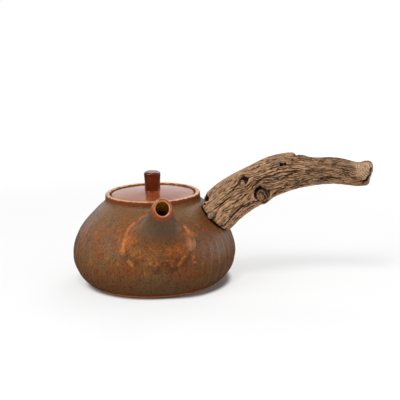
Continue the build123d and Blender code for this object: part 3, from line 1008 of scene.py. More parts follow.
def spout_stations(thin_mouth, thin_flare, angles):
    """Rings from the foot up to the mouth, thinned by a wall at the mouth and at the flare."""
    rows = []
    skin = heading(flare_rise)
    for sink, spread in ((4.4, 3.2), (2.9, 0.0)):
        size = [(half + spread) * MM - thin_flare for half in flare_half]
        rows.append(ellipse_ring(flare_root - skin * sink * MM, skin, *size, angles))
    plans = (
        (0.75, 13.7, 11.65, thin_flare),
        (0.42, 8.1, 8.1, (thin_mouth + thin_flare) / 2),
        (0.15, 7.0, 7.0, thin_mouth),
        (0, 5.8, 6.3, thin_mouth),
    )
    for share, half_width, half_height, thin in plans:
        back = spout_length * share / bend_radius
        chord = 2 * bend_radius * math.sin(back / 2)
        middle = mouth_point - heading(mouth_rise + math.degrees(back) / 2) * chord
        direction = heading(mouth_rise + math.degrees(back))
        size = half_width * MM - thin, half_height * MM - thin
        rows.append(ellipse_ring(middle, direction, *size, angles))
    rows[-1] = on_mouth_cut(rows[-1])
    return np.array(rows)


def on_mouth_cut(ring):
    """The mouth's ring, slid along the spout's axis onto the slanted cut."""
    cut = heading(mouth_cut_rise)
    axis = heading(mouth_rise)
    slide = ((mouth_point - ring) @ cut) / (axis @ cut)
    return ring + slide[:, None] * axis


spout_columns = 256
spout_angles = np.linspace(0, 2 * np.pi, spout_columns, endpoint=False)
mouth_wall, flare_wall = 2.1 * MM, 2.8 * MM
lip_begins = 0.978
outer_stations = spout_stations(0, 0, spout_angles)
inner_stations = spout_stations(mouth_wall, flare_wall, spout_angles)
spout_outer = spline_rows(outer_stations, np.linspace(0, lip_begins, 130))
spout_inner = spline_rows(inner_stations, np.linspace(0, lip_begins, 60))
print("spout reaches", round(float(-spout_outer[..., 1].min() / MM), 1), "mm forward")

# %% [markdown]
# The lip joins both skins by half an ellipse round each point of the rim. The surface is then
# closed end to end: up the outside, over the lip, down the inside and back under the flare.
# %% Spout surface


def lip_rows(outer_edge, inner_edge, height, samples=11):
    """Rows over a lip: half an ellipse from the outer edge over to the inner one."""
    middle = (outer_edge + inner_edge) / 2
    half = (outer_edge - inner_edge) / 2
    sweep = np.linspace(0, np.pi, samples)[1:-1, None, None]
    return middle + half * np.cos(sweep) + heading(mouth_cut_rise) * height * np.sin(sweep)


def skin_height(points):
    """Height of points over the plain shoulder, along its slope."""
    rows = np.concatenate([pot_profile_line, [(rim_radius, pot_height)]])
    out = np.interp(points[..., 2], rows[:, 1], rows[:, 0])
    slope = np.gradient(rows[:, 0], rows[:, 1])
    lean = np.interp(points[..., 2], rows[:, 1], slope)
    return (np.hypot(points[..., 0], points[..., 1]) - out) / np.sqrt(1 + lean**2)


def settled(rings):
    """Outer rings whose foot runs out softly on the shoulder: the smooth larger of two heights."""
    height = skin_height(rings)
    low = ramp_up(-np.sin(spout_angles), -0.75, 0.5)
    soft = (0.5 + 1.7 * low) * MM
    run_out = ramp_up(np.linspace(0, 1, len(rings)), 0, 0.1)[:, None]
    raised = 0.5 * (height + np.sqrt(height**2 + soft**2)) * run_out - 0.35 * MM
    radial = rings * (1, 1, 0)
    direction = radial / np.linalg.norm(radial, axis=-1, keepdims=True)
    slope = heading(flare_rise)[2]
    direction = direction * math.sqrt(1 - slope**2) + np.array([0, 0, slope])
    return rings + direction * ((raised - height) * ramp_up(height, 7 * MM, 3 * MM))[..., None]


def make_spout(finish):
    """The spout as one closed piece."""
    outer = settled(spout_outer)
    broad, small = unevenness(outer, 6 * MM, 31), unevenness(outer, 2.4 * MM, 32)
    push = -0.12 * MM * (1 + broad) - 0.05 * MM * (1 + small)
    outer = outer + outward(outer) * (push * ramp_up(skin_height(outer), 0, 3 * MM))[..., None]
    lip = lip_rows(outer[-1], spout_inner[-1], 0.85 * MM)
    rings = np.concatenate([outer, lip, spout_inner[::-1]])
    mesh = mesh_of("spout_skin", rings)
    place = np.concatenate([np.linspace(0, 0.95, len(outer)), np.linspace(0.955, 1, len(lip))])
    place = np.concatenate([place, 1.02 + np.linspace(0, 1, len(spout_inner))])
    add_values(mesh, "climb", place[:, None] + 0 * rings[..., 0])
    low = ramp_up(skin_height(rings), 3.2 * MM, 1.4 * MM)
    add_values(mesh, "stroke", strokes(rings) * low)
    add_values(mesh, "seam", low * low_in_front(rings))
    return add_piece(mesh, "pot", finish, ["spout"])


# %% [markdown]
# The spout has the body's glaze, but each zone fired its own way: rust-flecked on the flare,
# smooth and grey on the neck, red-brown on the lip with a cream inner edge, and olive inside.
# Further down the inside, painted shade and pooled glaze turn it deep brown, and painted shade
# darkens the lower edge of the flare. How far a point has climbed says which zone it is in: 0
# at the foot, 1 at the rim, and on to 2 down the inside.
# %% Spout finish
neck_grey = shade(100, 76, 58)
lip_red = shade(150, 70, 28)
throat_olive = shade(222, 166, 62)
# deep brown of pooled glaze, and of the painted shade deep in the throat
throat_brown = shade(96, 54, 18)
lip_zone = 0.86, 0.955
edge_zone = 0.980, 0.991
throat_zone = 1.050, 1.080


def spout_glaze():
    """Finish of the spout, zone by zone from its foot to its throat."""
    finish, wire = start_finish("spout_glaze")
    place = object_place(wire)
    climb = stored(wire, "climb")
    colour, medium, fine = glaze_ground(wire, place)
    band = soft_step(climb, 0.02, 0.12) * (1 - soft_step(climb, 0.25, 0.42))
    mottle = patches(wire, place, 1.1 * MM, 5, 0.75, (1.5, 1.5, 1))
    clouds = patches(wire, place, 6 * MM, 3, 0.5, (2, 2, 1))
    rusted = soft_step(mottle, 0.45, 0.62) * soft_step(clouds, 0.38, 0.58)
    colour = blend(wire, colour, glaze_rust, rusted * band * 0.95)
    # painted shade along the lower edge of the flare
    colour = blend(wire, colour, painted_shade_brown, seam_painted_shade(wire, medium))
    neck = soft_step(climb + medium * 0.1, 0.36, 0.62)
    colour = with_strokes(wire, place, blend(wire, colour, neck_grey, neck * 0.85))
    lip = soft_step(climb + fine * 0.03, *lip_zone)
    colour = blend(wire, colour, lip_red, lip)
    throat = soft_step(climb, *throat_zone)
    edge = soft_step(climb + (fine - 0.5) * 0.02, *edge_zone) * (1 - throat)
    colour = blend(wire, colour, rim_cream, edge * 0.85)
    # painted shade darkens the throat down the inside, and pools of darker glaze lie over it
    deep = soft_step(climb, 1.15, 1.8)
    pools = soft_step(patches(wire, place, 1.6 * MM, 4, 0.6), 0.42, 0.62)
    lining = blend(wire, throat_olive, throat_brown, deep.most(pools * 0.5))
    colour = blend(wire, colour, lining, throat)
    rough = medium * 0.14 + 0.20 - lip * 0.08
    skin = glaze_skin(wire, place, fine, 0.45 * MM)
    gloss = {"IOR": glaze_ior, "Coat_Weight": lip, "Coat_Roughness": 0.05}
    return end_finish(finish, wire, Base_Color=colour, Roughness=rough, Normal=skin, **gloss)


spout_finish = spout_glaze()
make_spout(spout_finish)
print("spout glaze nodes:", len(spout_finish.node_tree.nodes))

# %% [markdown]
# ## Lid and knob
#
# The lid was thrown as one disc: a low crown above, and a flange below that drops inside the
# ledge, so that it stays in place when tea is poured. Its profile runs from the middle of the
# crown over the thin edge, along the ledge, down the flange and back under the hollow. A small
# air hole beside the knob lets the tea flow, and the Boolean cutter pierces it for good. The
# glaze is glossy and red-brown, and its two colours are given, so that the knob can share it.
# %% Lid
lid_gap = 0.7 * MM
lid_radius = rim_radius - rim_wall - lid_gap
lid_edge_height = ledge_height + 2.8 * MM
lid_top = lid_edge_height + 2.3 * MM
flange_radius = ledge_radius - 0.5 * MM
flange_drop = 4.6 * MM
recess_radius = flange_radius - 2.4 * MM
lid_thickness = 3.2 * MM
vent_out = 6.3 * MM
vent_angle = math.radians(-110)
lid_angles = np.linspace(0, 2 * np.pi, 240, endpoint=False)


def crown_rows(radius, edge_height, top, start, samples):
    """Points of a shallow dome: a parabola from its edge to its top, starting at a radius."""
    out = np.linspace(radius, start, samples)
    return np.stack([out, top - (top - edge_height) * (out / radius) ** 2], axis=-1)


def make_lid(finish):
    """The lid as one closed piece, pierced by its air hole."""
    flange_foot = ledge_height - flange_drop
    under = [(lid_radius, ledge_height), (flange_radius, ledge_height)]
    under += [(flange_radius, flange_foot), (recess_radius, flange_foot)]
    under += [(recess_radius, lid_edge_height - lid_thickness)]
    hollow = (recess_radius - 3 * MM, under[-1][1] + 0.5 * MM)
    crown = crown_rows(lid_radius - 0.9 * MM, lid_edge_height + 0.1 * MM, lid_top, 1 * MM, 44)[::-1]
    edge = rounded_line([crown[-1], (lid_radius, lid_edge_height), *under, hollow], 0.5 * MM)
    ceiling = crown_rows(*hollow, lid_top - lid_thickness, 1 * MM, 8)
    rings = turned(np.concatenate([crown, edge[1:-1], ceiling]), lid_angles)
    on_top = rings[..., 2] > lid_edge_height - 0.5 * MM
    rings[..., 2] += -0.10 * MM * (1 + unevenness(rings, 12 * MM, 41)) * on_top
    mesh = mesh_of("lid_disc", rings, [(0, 0, lid_top - 0.1 * MM), (0, 0, lid_top - lid_thickness)])
    lid = add_piece(mesh, "lid", finish, ["lid"])
    vent = Vector((vent_out * math.cos(vent_angle), vent_out * math.sin(vent_angle), lid_top))
    pierce(lid, cutter_of(vent, Vector((0, 0, 1)), 1.0 * MM, 12 * MM, 32))
    return lid


def lid_glaze(name, ground, deep, ior):
    """Glossy red-brown glaze, darker where it pooled."""
    finish, wire = start_finish(name)
    place = object_place(wire)
    wide = patches(wire, place, 9 * MM, 4)
    fine = patches(wire, place, 1.2 * MM, 4, 0.6)
    colour = blend(wire, ground, deep, soft_step(wide, 0.35, 0.7) * 0.7)
    colour = blend(wire, colour, glaze_dark, soft_step(fine, 0.55, 0.75) * 0.3)
    rough = wide * 0.10 + 0.10
    raised = bump(wire, wide, 0.25 * MM)
    return end_finish(finish, wire, Base_Color=colour, Roughness=rough, Normal=raised, IOR=ior)


lid = make_lid(lid_glaze("lid_glaze", shade(160, 80, 36), shade(108, 46, 20), 1.54))
print("lid faces after piercing:", len(lid.data.polygons))

# %% [markdown]
# The knob was turned by itself and stuck on with slip. It is a short peg, a little narrower in
# the middle, so that two fingers hold it well. Five stations and a spline give its side, part
# of an arc gives the soft top edge, and its top is a little dished. Its glaze is the lid's, but
# darker.
# %% Knob
knob_base = lid_top - 1.2 * MM
knob_top = lid_top + 11.8 * MM


def make_knob(finish):
    """The knob as one closed piece: a small waisted peg with a soft top edge."""
    stations = np.array([(5.15, -1.0), (5.05, 1.2), (5.0, 4.2), (5.2, 8.2), (5.35, 10.6)]) * MM
    wall_rows = spline_rows(stations, np.linspace(0, 1, 30)) + (0, lid_top)
    edge = arc_rows((3.75 * MM, knob_top - 1.6 * MM), 1.6 * MM, 8, 90, 10)
    dish = 0.35 * MM * np.linspace(0.1, 1, 8) ** 0.5
    top = np.stack([np.linspace(3.3, 0.6, 8) * MM, knob_top - dish], axis=-1)
    profile = np.concatenate([[(2 * MM, knob_base)], wall_rows, edge, top])
    rings = turned(profile, np.linspace(0, 2 * np.pi, 128, endpoint=False))
    rings = rings + outward(rings) * (-0.06 * MM * (1 + unevenness(rings, 3 * MM, 51)))[..., None]
    mesh = mesh_of("knob", rings, [(0, 0, knob_base), (0, 0, knob_top - 0.3 * MM)])
    return add_piece(mesh, "lid", finish, ["lid_knob"])


make_knob(lid_glaze("knob_glaze", shade(104, 35, 4), shade(46, 13, 2), 1.5))

# %% [markdown]
# ## The wooden handle
#
# A piece of weathered wood with the bend of an arm was hollowed at one end, pushed over a clay
# stub and pegged. Ovals, square to its line, stand at eleven stations. Each row gives how far
# along and how high the middle is, in shares of the length, how many degrees the line climbs
# there, the half thickness and half width as shares, and how far it is shifted sideways. These
# are the CAD model's stations, so that the carved surface keeps close to the solid. Each point
# of a ring has a turn, and from that follows how far it faces up and how far to the front.
# %% Wood stations
butt_middle = np.array([41.05, 0, 45.54]) * MM
grip_length = 97.6 * MM
grip_half = 12.9 * MM
butt_gap = 0.75 * MM
collar_clearance = 3.0 * MM
grip_plans = np.array(
    (
        (-0.112, -0.111, 44, 1.03, 1.08, -0.012),
        (0.000, 0.000, 41, 1.05, 1.09, -0.012),
        (0.122, 0.105, 35, 1.00, 1.07, -0.006),
        (0.284, 0.202, 28, 0.95, 1.02, 0.000),
        (0.416, 0.259, 18, 0.93, 0.96, 0.006),
        (0.536, 0.275, 6, 0.80, 0.88, 0.010),
        (0.633, 0.276, 1, 0.69, 0.80, 0.008),
        (0.745, 0.278, -2, 0.65, 0.75, 0.002),
        (0.847, 0.268, -6, 0.61, 0.70, -0.004),
        (0.929, 0.261, -3, 0.60, 0.68, -0.008),
        (1.001, 0.262, -10, 0.54, 0.62, -0.010),
    )
)
wood_columns = 352
wood_turns = np.linspace(0, 2 * np.pi, wood_columns, endpoint=False)
wood_up = np.sin(wood_turns)
wood_front = -np.cos(wood_turns)
wood_length = 127 * MM
tip_round = 2.0 * MM
print("stations along the wood:", len(grip_plans))

# %% [markdown]
# The loft runs from inside the shoulder to the tip. Each of its lengthwise lines is followed
# until it leaves the surface that the butt is cut to, the shoulder grown by its bedding, and
# the rings are spread anew between there and the tip. The far end is closed by a low dome.
# %% Seated loft


def wood_stations():
    """Elliptic rings of the wood, square to its line, from inside the shoulder to the tip."""
    along, up, rise, thick, wide, sideways = grip_plans.T[:, :, None]
    middle = butt_middle + grip_length * np.stack([along, sideways, up], axis=-1)
    rise = np.radians(rise)
    level = grip_half * wide * np.cos(wood_turns)
    lift = grip_half * thick * np.sin(wood_turns)
    return middle + np.stack([-np.sin(rise) * lift, level, np.cos(rise) * lift], axis=-1)


def seat_radius(height):
    """Radius of the surface that the butt is cut to, at a height: shoulder, then collar."""
    grown = butt_gap
    widest = np.array([belly_radius + grown, belly_height])
    top = collar_foot + (grown, grown / 2)
    collar = [(rim_radius + grown, pot_height), (0, pot_height + MM)]
    rows = np.concatenate([shoulder_rows(widest, top, 60), collar])
    return np.maximum(np.interp(height, rows[:, 1], rows[:, 0]), collar_foot[0] + collar_clearance)


def seated_rows(rows):
    """Rings of the wood from its seat almost to the tip, and each point's share of the loft."""
    dense = spline_rows(wood_stations(), np.linspace(0, 1, 900))
    above = np.hypot(dense[..., 0], dense[..., 1]) - seat_radius(dense[..., 2])
    last = len(dense) - 1 - np.argmax(above[::-1] < 0, axis=0)
    columns = np.arange(dense.shape[1])
    here, beyond = above[last, columns], above[last + 1, columns]
    start = (last + here / (here - beyond)) / (len(dense) - 1)
    end = 1 - tip_round / wood_length
    share = start + (end - start) * np.linspace(0, 1, rows)[:, None]
    spot = share * (len(dense) - 1)
    low = spot.astype(int)
    part = (spot - low)[..., None]
    return dense[low, columns] * (1 - part) + dense[low + 1, columns] * part, share


def closed_ends(rings, share):
    """The rings with a butt face that follows the seat, and a domed tip; and their shares."""
    middle = rings[0].mean(axis=0)
    butt = middle + (rings[0] - middle) * np.linspace(0.06, 0.97, 10)[:, None, None]
    out = seat_radius(butt[..., 2]) / np.hypot(butt[..., 0], butt[..., 1])
    butt[..., :2] *= out[..., None]
    lean = np.radians(np.linspace(0, 88, 13)[1:, None, None])
    centre = rings[-1].mean(axis=0)
    ahead = centre - rings[-8].mean(axis=0)
    ahead = ahead / np.linalg.norm(ahead)
    tip = centre + (rings[-1] - centre) * np.cos(lean) ** 0.55 + ahead * tip_round * np.sin(lean)
    before = np.repeat(share[:1], len(butt), axis=0)
    after = np.repeat(share[-1:], len(tip), axis=0)
    return np.concatenate([butt, rings, tip]), np.concatenate([before, share, after])


wood_base, wood_share = closed_ends(*seated_rows(252))
wood_reach = wood_base[..., 0].min() / MM, wood_base[..., 0].max() / MM
print("wood spans x", wood_reach[0].round(1), "to", wood_reach[1].round(1), "mm")

# %% [markdown]
# Grain is a direction more than a picture. Each point of the wood gets a place in "grain
# space": how far along the wood it lies, and where it lies round it. Lines of grain wander a
# little and part round each knot, like a stream round a stone, so the place round the wood is
# pushed aside near a knot by the formula for such a stream. Every crack and fibre follows.
# %% Grain space
grain_radius = 12 * MM
knot_plans = (((70.4, 59.6), 5.4), ((59.4, 67.8), 3.4))


def nearest_front(rings, spot):
    """Row and column of the front point nearest to a place (x, z) in millimetres."""
    distance = np.hypot(rings[..., 0] - spot[0] * MM, rings[..., 2] - spot[1] * MM)
    facing = np.broadcast_to(wood_front > 0.2, distance.shape)
    return np.unravel_index(np.argmin(np.where(facing, distance, 1)), distance.shape)


def grain_space(rings, share):
    """Place of each point along and round the wood, in metres, parted round the knots."""
    along = share * wood_length
    turn = wood_turns + 0 * along
    base = np.stack([along, grain_radius * np.cos(turn), grain_radius * np.sin(turn)], axis=-1)
    turn = turn + 0.22 * unevenness(base, np.array([24, 9, 9]) * MM, 61)
    turn = turn + 0.07 * unevenness(base, np.array([7, 4, 4]) * MM, 62)
    for spot, size in knot_plans:
        place = nearest_front(rings, spot)
        away = along - along[place]
        aside = (turn - turn[place] + np.pi) % (2 * np.pi) - np.pi
        squared = away**2 + (aside * grain_radius) ** 2
        turn = turn - aside * (size * MM) ** 2 / np.maximum(squared, (size * MM) ** 2)
    return np.stack([along, grain_radius * np.cos(turn), grain_radius * np.sin(turn)], axis=-1)


wood_grain = grain_space(wood_base, wood_share)
print("grain runs over", (np.ptp(wood_grain[..., 0]) / MM).round(1), "mm")

# %% [markdown]
# The carving of the wood is a height for each point, mostly below the smooth loft, and named
# features come first. The long furrows are those of the CAD model: each runs between two
# stations and drifts round the wood, with a V across it that runs out at both ends. A plan gives
# its two stations, the turns in degrees where it starts, at its middle and where it ends, its
# share of the full depth, and how dark it is. The half widths of a furrow and of the dark slit
# in it, and the full depth, are in millimetres.
# %% Furrows
furrow_half_width = 1.1
furrow_depth = 1.6
slit_half_width = 0.72
furrow_plans = (
    (1.12, 2.15, 164, 166, 166, 1.0, 1.0),
    (1.00, 2.45, 223, 215, 211, 1.1, 0.85),
    (2.12, 2.62, 157, 149, 143, 0.8, 0.7),
    (2.74, 3.80, 139, 141, 147, 0.9, 0.4),
    (2.55, 4.10, 174, 168, 174, 1.0, 0.55),
    (3.20, 4.50, 234, 229, 214, 1.0, 0.5),
    (3.90, 5.50, 188, 178, 167, 0.9, 0.5),
    (6.00, 8.00, 122, 136, 139, 0.8, 0.35),
    (5.25, 7.85, 215, 203, 202, 1.0, 0.5),
    (8.80, 10.50, 206, 203, 176, 1.3, 0.8),
    (1.30, 3.00, 20, 12, 8, 1.0, 0.8),
    (1.60, 3.30, 62, 52, 46, 0.8, 0.5),
    (2.20, 4.40, -35, -28, -30, 1.0, 0.7),
    (3.40, 5.20, 35, 28, 22, 0.9, 0.4),
    (4.80, 7.20, 0, -8, -4, 1.0, 0.6),
    (6.00, 8.60, 42, 36, 30, 0.8, 0.4),
    (7.40, 9.40, -30, -22, -26, 0.8, 0.6),
    (5.70, 8.20, 84, 92, 88, 0.8, 0.4),
    (1.60, 3.60, 262, 268, 264, 1.0, 0.6),
    (3.80, 6.20, 275, 266, 270, 1.0, 0.5),
    (6.40, 8.80, 258, 266, 262, 0.9, 0.5),
)


def station_numbers(share):
    """Station of the wood, counted from 0, at shares of the loft's mean length."""
    spans = np.linalg.norm(np.diff(wood_stations(), axis=0), axis=-1).mean(axis=1)
    marks = np.concatenate([[0], np.cumsum(spans)]) / spans.sum()
    return np.interp(share, marks, np.arange(len(marks)))


def furrows(rings, share):
    """Depth of the furrows in millimetres, a V that runs out at both ends, and their darkness."""
    station = station_numbers(share)
    turn = np.degrees(wood_turns) + 2.6 * unevenness(rings, 6 * MM, 93)
    turn = turn + 1.3 * unevenness(rings, 1.8 * MM, 94)
    half_size = grip_plans[:, 3:5].mean(axis=1)
    around = np.interp(station, np.arange(len(grip_plans)), half_size) * grip_half / MM
    total = np.zeros(share.shape)
    dark = np.zeros(share.shape)
    for first, last, start, middle, end, strength, shadow in furrow_plans:
        part = np.clip((station - first) / (last - first), 0, 1)
        course = start * (1 - part) * (1 - 2 * part) + middle * 4 * part * (1 - part)
        course = course + end * part * (2 * part - 1)
        aside = np.radians((turn - course + 180) % 360 - 180) * around
        lift = 1.15 * (1 - np.sin(np.pi * part))
        open_share = np.clip(1 - np.abs(aside) / furrow_half_width - lift, 0, 1)
        slit_share = np.clip(1 - np.abs(aside) / slit_half_width - 0.65 * lift, 0, 1)
        total = np.maximum(total, furrow_depth * strength * open_share**1.4)
        dark = np.maximum(dark, shadow * ramp_up(slit_share, 0.05, 0.42))
    return total, dark


print("furrows:", len(furrow_plans))

# %% [markdown]
# Two dead knots sit in sunken sockets on the front. A plan gives the middle of the socket in
# millimetres as seen from the front, its half sizes and its turn, the middle and half sizes of
# the core, how deep the gap between them is, and whether the core still has its heart. The gap
# is open on the upper left and closed on the other side, and a groove and spokes crack the core.
# The gap and the cracks are darkened in colour too, as painted shade.
# %% Knots
knot_forms = (
    ((70.2, 59.4), (4.0, 5.1), 8, (70.9, 58.3), (3.1, 4.4), 3.0, 1.0),
    ((59.6, 68.1), (2.5, 3.0), -35, (58.9, 67.1), (1.8, 2.0), 2.6, 0.0),
)


def oval(seen, centre, half, turn=0.0):
    """Distance from an oval's middle, 1 on its edge, for places seen from the front."""
    lean = math.radians(turn)
    offset = seen - centre
    side = (offset[..., 0] * math.cos(lean) + offset[..., 1] * math.sin(lean)) / half[0]
    rise = (offset[..., 1] * math.cos(lean) - offset[..., 0] * math.sin(lean)) / half[1]
    return np.hypot(side, rise)


def knot_heights(rings, seen, front):
    """Heights of the dead knots in millimetres, how hollow each point is as painted shade, and its
    knot wood.

    Knot wood is 0 outside the cores, up to 0.5 where bark covers a core, and 1 in the heart.
    """
    height = np.zeros(seen.shape[:-1])
    hollow = np.zeros(seen.shape[:-1])
    plug = np.zeros(seen.shape[:-1])
    rough = unevenness(rings, 0.9 * MM, 95) + 0.5 * unevenness(rings, 0.5 * MM, 97)
    uneven = unevenness(rings, 2.2 * MM, 98)
    for centre, half, turn, core_centre, core_half, depth, heart in knot_forms:
        ring = oval(seen, centre, half, turn) + 0.05 * rough + 0.10 * uneven
        core = oval(seen, core_centre, core_half, turn) + 0.08 * rough - 0.12 * uneven
        inside_core = ramp_up(core, 1.04, 0.86)
        away = seen - centre
        lee = ramp_up((0.75 * away[..., 1] - 0.65 * away[..., 0]) / half[1], -0.75, 0.1)
        open_ring = ramp_up(ring, 1.06, 0.92) * (1 - inside_core) * (0.1 + 0.9 * lee)
        seam = np.exp(-(((core - 1.0) / 0.09) ** 2)) * (ring < 1.2)
        groove = np.exp(-(((core + 0.1 * rough - 0.6) / 0.10) ** 2))
        angle = np.arctan2(seen[..., 1] - core_centre[1], seen[..., 0] - core_centre[0])
        spokes = ramp_up(np.cos(5 * angle + 2.0 * rough), 0.75, 1.0)
        spokes = spokes * ramp_up(core, 0.1, 0.35) * ramp_up(core, 1.0, 0.8)
        dome = 0.7 * (1 - core**2) - 0.5 + 0.5 * rough - 0.4 * groove - 0.4 * spokes
        collar = 0.45 * np.exp(-(((ring - 1.25) / 0.2) ** 2))
        gap = depth * open_ring
        height += (-gap + dome * inside_core + collar - 0.5 * seam * (1 - open_ring)) * front
        # the open gap, the seam round the core and its cracks are painted dark as shade
        cracks = 0.62 * np.maximum(groove, spokes) * inside_core
        shadow = np.maximum(open_ring, np.maximum(0.5 * seam, cracks))
        hollow = np.maximum(hollow, shadow * front)
        heart_centre = core_centre[0] - 0.7, core_centre[1] - 1.2
        off = oval(seen, heart_centre, (core_half[0] * 0.5, core_half[1] * 0.5), turn)
        bark = 0.24 + 0.26 * heart
        heartwood = 0.5 * heart * ramp_up(off + 0.3 * rough, 1.1, 0.7)
        plug = np.maximum(plug, (bark + heartwood) * inside_core * front)
    return height, hollow, plug


print("knots:", len(knot_forms))

# %% [markdown]
# The broad form departs from the loft too. A strip of harder wood on top stands proud and
# breaks off in a ragged step. The underside is lumpy, and the tip is fuller above than below.
# Each lump is a bell curve along the wood, and every measure here is in millimetres.
# %% Strip and broad form


def strip_height(rings, grain):
    """Height of the proud strip on top, which ends in a ragged step; and where the strip is."""
    across = ramp_up(wood_up + 0.25 * wood_front, 0.35, 0.85)
    ragged = 1.8 * unevenness(grain, np.array([60, 1.6, 1.6]) * MM, 71)
    ragged = ragged + 1.0 * unevenness(grain, np.array([60, 0.7, 0.7]) * MM, 72)
    end = (90.8 + ragged - 1.6 * np.clip(wood_front, 0, 1)) * MM
    x = rings[..., 0]
    body = ramp_up(x, 76 * MM, 90 * MM) + ramp_up(x, 60 * MM, 50 * MM) * 0.3
    step = ramp_up(x, end + 0.35 * MM, end - 0.35 * MM)
    beyond = (1 - step) * -0.6 * ramp_up(x, 125 * MM, 100 * MM)
    return (body * step + beyond) * across, across * step


def broad_form(rings):
    """Lumps of the underside, and the tip that is fuller above than below, in millimetres."""
    x = rings[..., 0] / MM
    down = np.clip(-wood_up, 0, 1)
    up = np.clip(wood_up, 0, 1)
    lump = 0.5 * ramp_up(x, 46, 56) * ramp_up(x, 116, 98) + 0.8 * np.exp(-(((x - 72) / 6) ** 2))
    lump = lump + 0.4 * np.exp(-(((x - 49) / 4) ** 2)) + 0.2 * np.exp(-(((x - 90) / 9) ** 2))
    corner = 0.95 * ramp_up(x, 131, 134.5) * ramp_up(x, 139, 136.5) * up
    tip = corner - 1.6 * ramp_up(x, 135, 140) * down
    waist = -0.7 * np.exp(-(((x - 128) / 4.5) ** 2)) * up
    return lump * down**2 + tip + waist


print("tallest lump:", round(float(broad_form(wood_base).max()), 1), "mm")

# %% [markdown]
# Everything between the named features is the work of weather: hundreds of fissures along the
# grain, coarse and fine, that wander, taper and fade. Three sets of them lie side by side round
# the wood: a set's number of fissures times the turn, plus a little noise, is a whole number in
# the middle of each fissure. A plan gives that number, how far the fissures wander, how long
# they run, their width, the depth of the cut and of the hollow round it in millimetres, how
# dark they are, and the lowest value of a noise at which they are there.
# %% Fissures
fissure_plans = (
    (23, 0.75, 26, 0.26, 0.62, 0.24, 0.72, -0.1),
    (47, 0.85, 14, 0.25, 0.50, 0.20, 0.74, -0.8),
    (71, 0.95, 7, 0.21, 0.30, 0.10, 0.56, -0.9),
)


def fissures(grain, calm):
    """Depth of the fissures in millimetres, and their darkness; calm thins them out."""
    turn = np.arctan2(grain[..., 2], grain[..., 1])
    depth = 0
    dark = 0
    for number, (count, wander, run, width, cut, hollow, shadow, least) in enumerate(fissure_plans):
        seed = 81 + 4 * number
        pitch = 2 * np.pi * grain_radius / MM / count
        broad = unevenness(grain, np.array([run, 2 * pitch, 2 * pitch]) * MM, seed)
        small = unevenness(grain, np.array([run / 4, pitch, pitch]) * MM, seed + 1)
        phase = turn * count / (2 * np.pi) + wander * broad + 0.22 * small
        away = np.abs(phase - np.round(phase))
        field = unevenness(grain, np.array([run, 1.3 * pitch, 1.3 * pitch]) * MM, seed + 2)
        presence = ramp_up(field, least, least + 0.75) * (1 - 0.3 * calm)
        line = np.exp(-((away * pitch / (width * (0.4 + 0.6 * presence))) ** 2)) * presence
        depth = depth + cut * line + hollow * (1 - 2 * away) ** 2 * presence
        dark = np.maximum(dark, shadow * line)
    return depth, dark


print("fissures round the wood:", [plan[0] for plan in fissure_plans])

# %% [markdown]
# Small marks make this piece of wood unlike any other: two worm holes, a torn pocket and a notch
# near the butt, a cleft at the tip, and the dark gap round the peg. The end is pale and cupped,
# with arcs of growth in it. Grey spots and warm spots change only the colour. Places and sizes
# are in millimetres, as seen from the front.
# %% Holes, end and spots
worm_forms = ((83.1, 78.1, 1.1), (85.3, 78.1, 0.75))
pocket_middle, pocket_half, pocket_turn = (35.7, 56.1), (1.9, 1.6), 15
notch_middle, notch_half = (35.0, 53.0), (1.0, 0.7)
peg_place, peg_gap_radius = (39.3, 46.5), 2.35
tip_cleft = (
    (138.2, 75.4), (138.0, 72.6), (136.8, 70.4), (135.2, 68.3), (133.3, 67.1), (130.0, 67.2)
)
swirl_middle = (138.6, 77.2)
swirl_pitch = 1.45
warm_spots = (((131.4, 69.7), (1.5, 1.2)), ((94.9, 72.2), (2.6, 1.0)))
grey_spots = (
    ((75.0, 68.6), (10.0, 3.4), 22),
    ((101.0, 77.6), (6.0, 1.2), -4),
    ((119.5, 77.4), (6.0, 1.1), -6),
)


def pit_depths(rings, seen):
    """Depth in millimetres of holes, pocket, notch, cleft and the gap round the peg."""
    depth = np.zeros(seen.shape[:-1])
    for x, z, radius in worm_forms:
        away = np.linalg.norm(seen - (x, z), axis=-1)
        depth = np.maximum(depth, 2.0 * ramp_up(away, 1.15 * radius, 0.6 * radius))
    torn = 0.35 * unevenness(rings, 1.4 * MM, 99)
    pocket = oval(seen, pocket_middle, pocket_half, pocket_turn) + torn
    depth = np.maximum(depth, 3.0 * ramp_up(pocket, 1.15, 0.75))
    notch = oval(seen, notch_middle, notch_half) + torn
    depth = np.maximum(depth, 1.5 * ramp_up(notch, 1.2, 0.6))
    gap, along = line_distance(seen, tip_cleft)
    depth = np.maximum(depth, 2.2 * np.exp(-((gap / 0.65) ** 2)) * ramp_up(along, 1, 0.75))
    away = np.linalg.norm(seen - peg_place, axis=-1)
    return np.maximum(depth, 0.7 * np.exp(-(((away - peg_gap_radius) / 0.3) ** 2)))


def swirl(seen):
    """The pale, cupped end of the wood: a mask, and arcs of growth about a middle, as depth."""
    away = np.linalg.norm(seen - swirl_middle, axis=-1)
    torn = 2.2 * unevenness(seen, np.array([4.0, 1.4]), 73)
    mask = ramp_up(away + torn, 13.5, 9.0) * ramp_up(seen[..., 0] + torn, 123, 130)
    number = away / swirl_pitch + 0.35 * unevenness(seen, np.array([3.0, 3.0]), 74)
    rings = np.abs(number - np.round(number))
    return mask, 0.5 * np.exp(-((rings / 0.17) ** 2)) * mask


def spots(seen, plans, torn, edge):
    """Strength of ovals of another colour: 1 inside each, and 0 from its soft, torn edge on."""
    strength = np.zeros(seen.shape[:-1])
    for plan in plans:
        strength = np.maximum(strength, ramp_up(oval(seen, *plan) + torn, *edge))
    return strength


print("worm holes:", len(worm_forms), "spots:", len(warm_spots) + len(grey_spots))

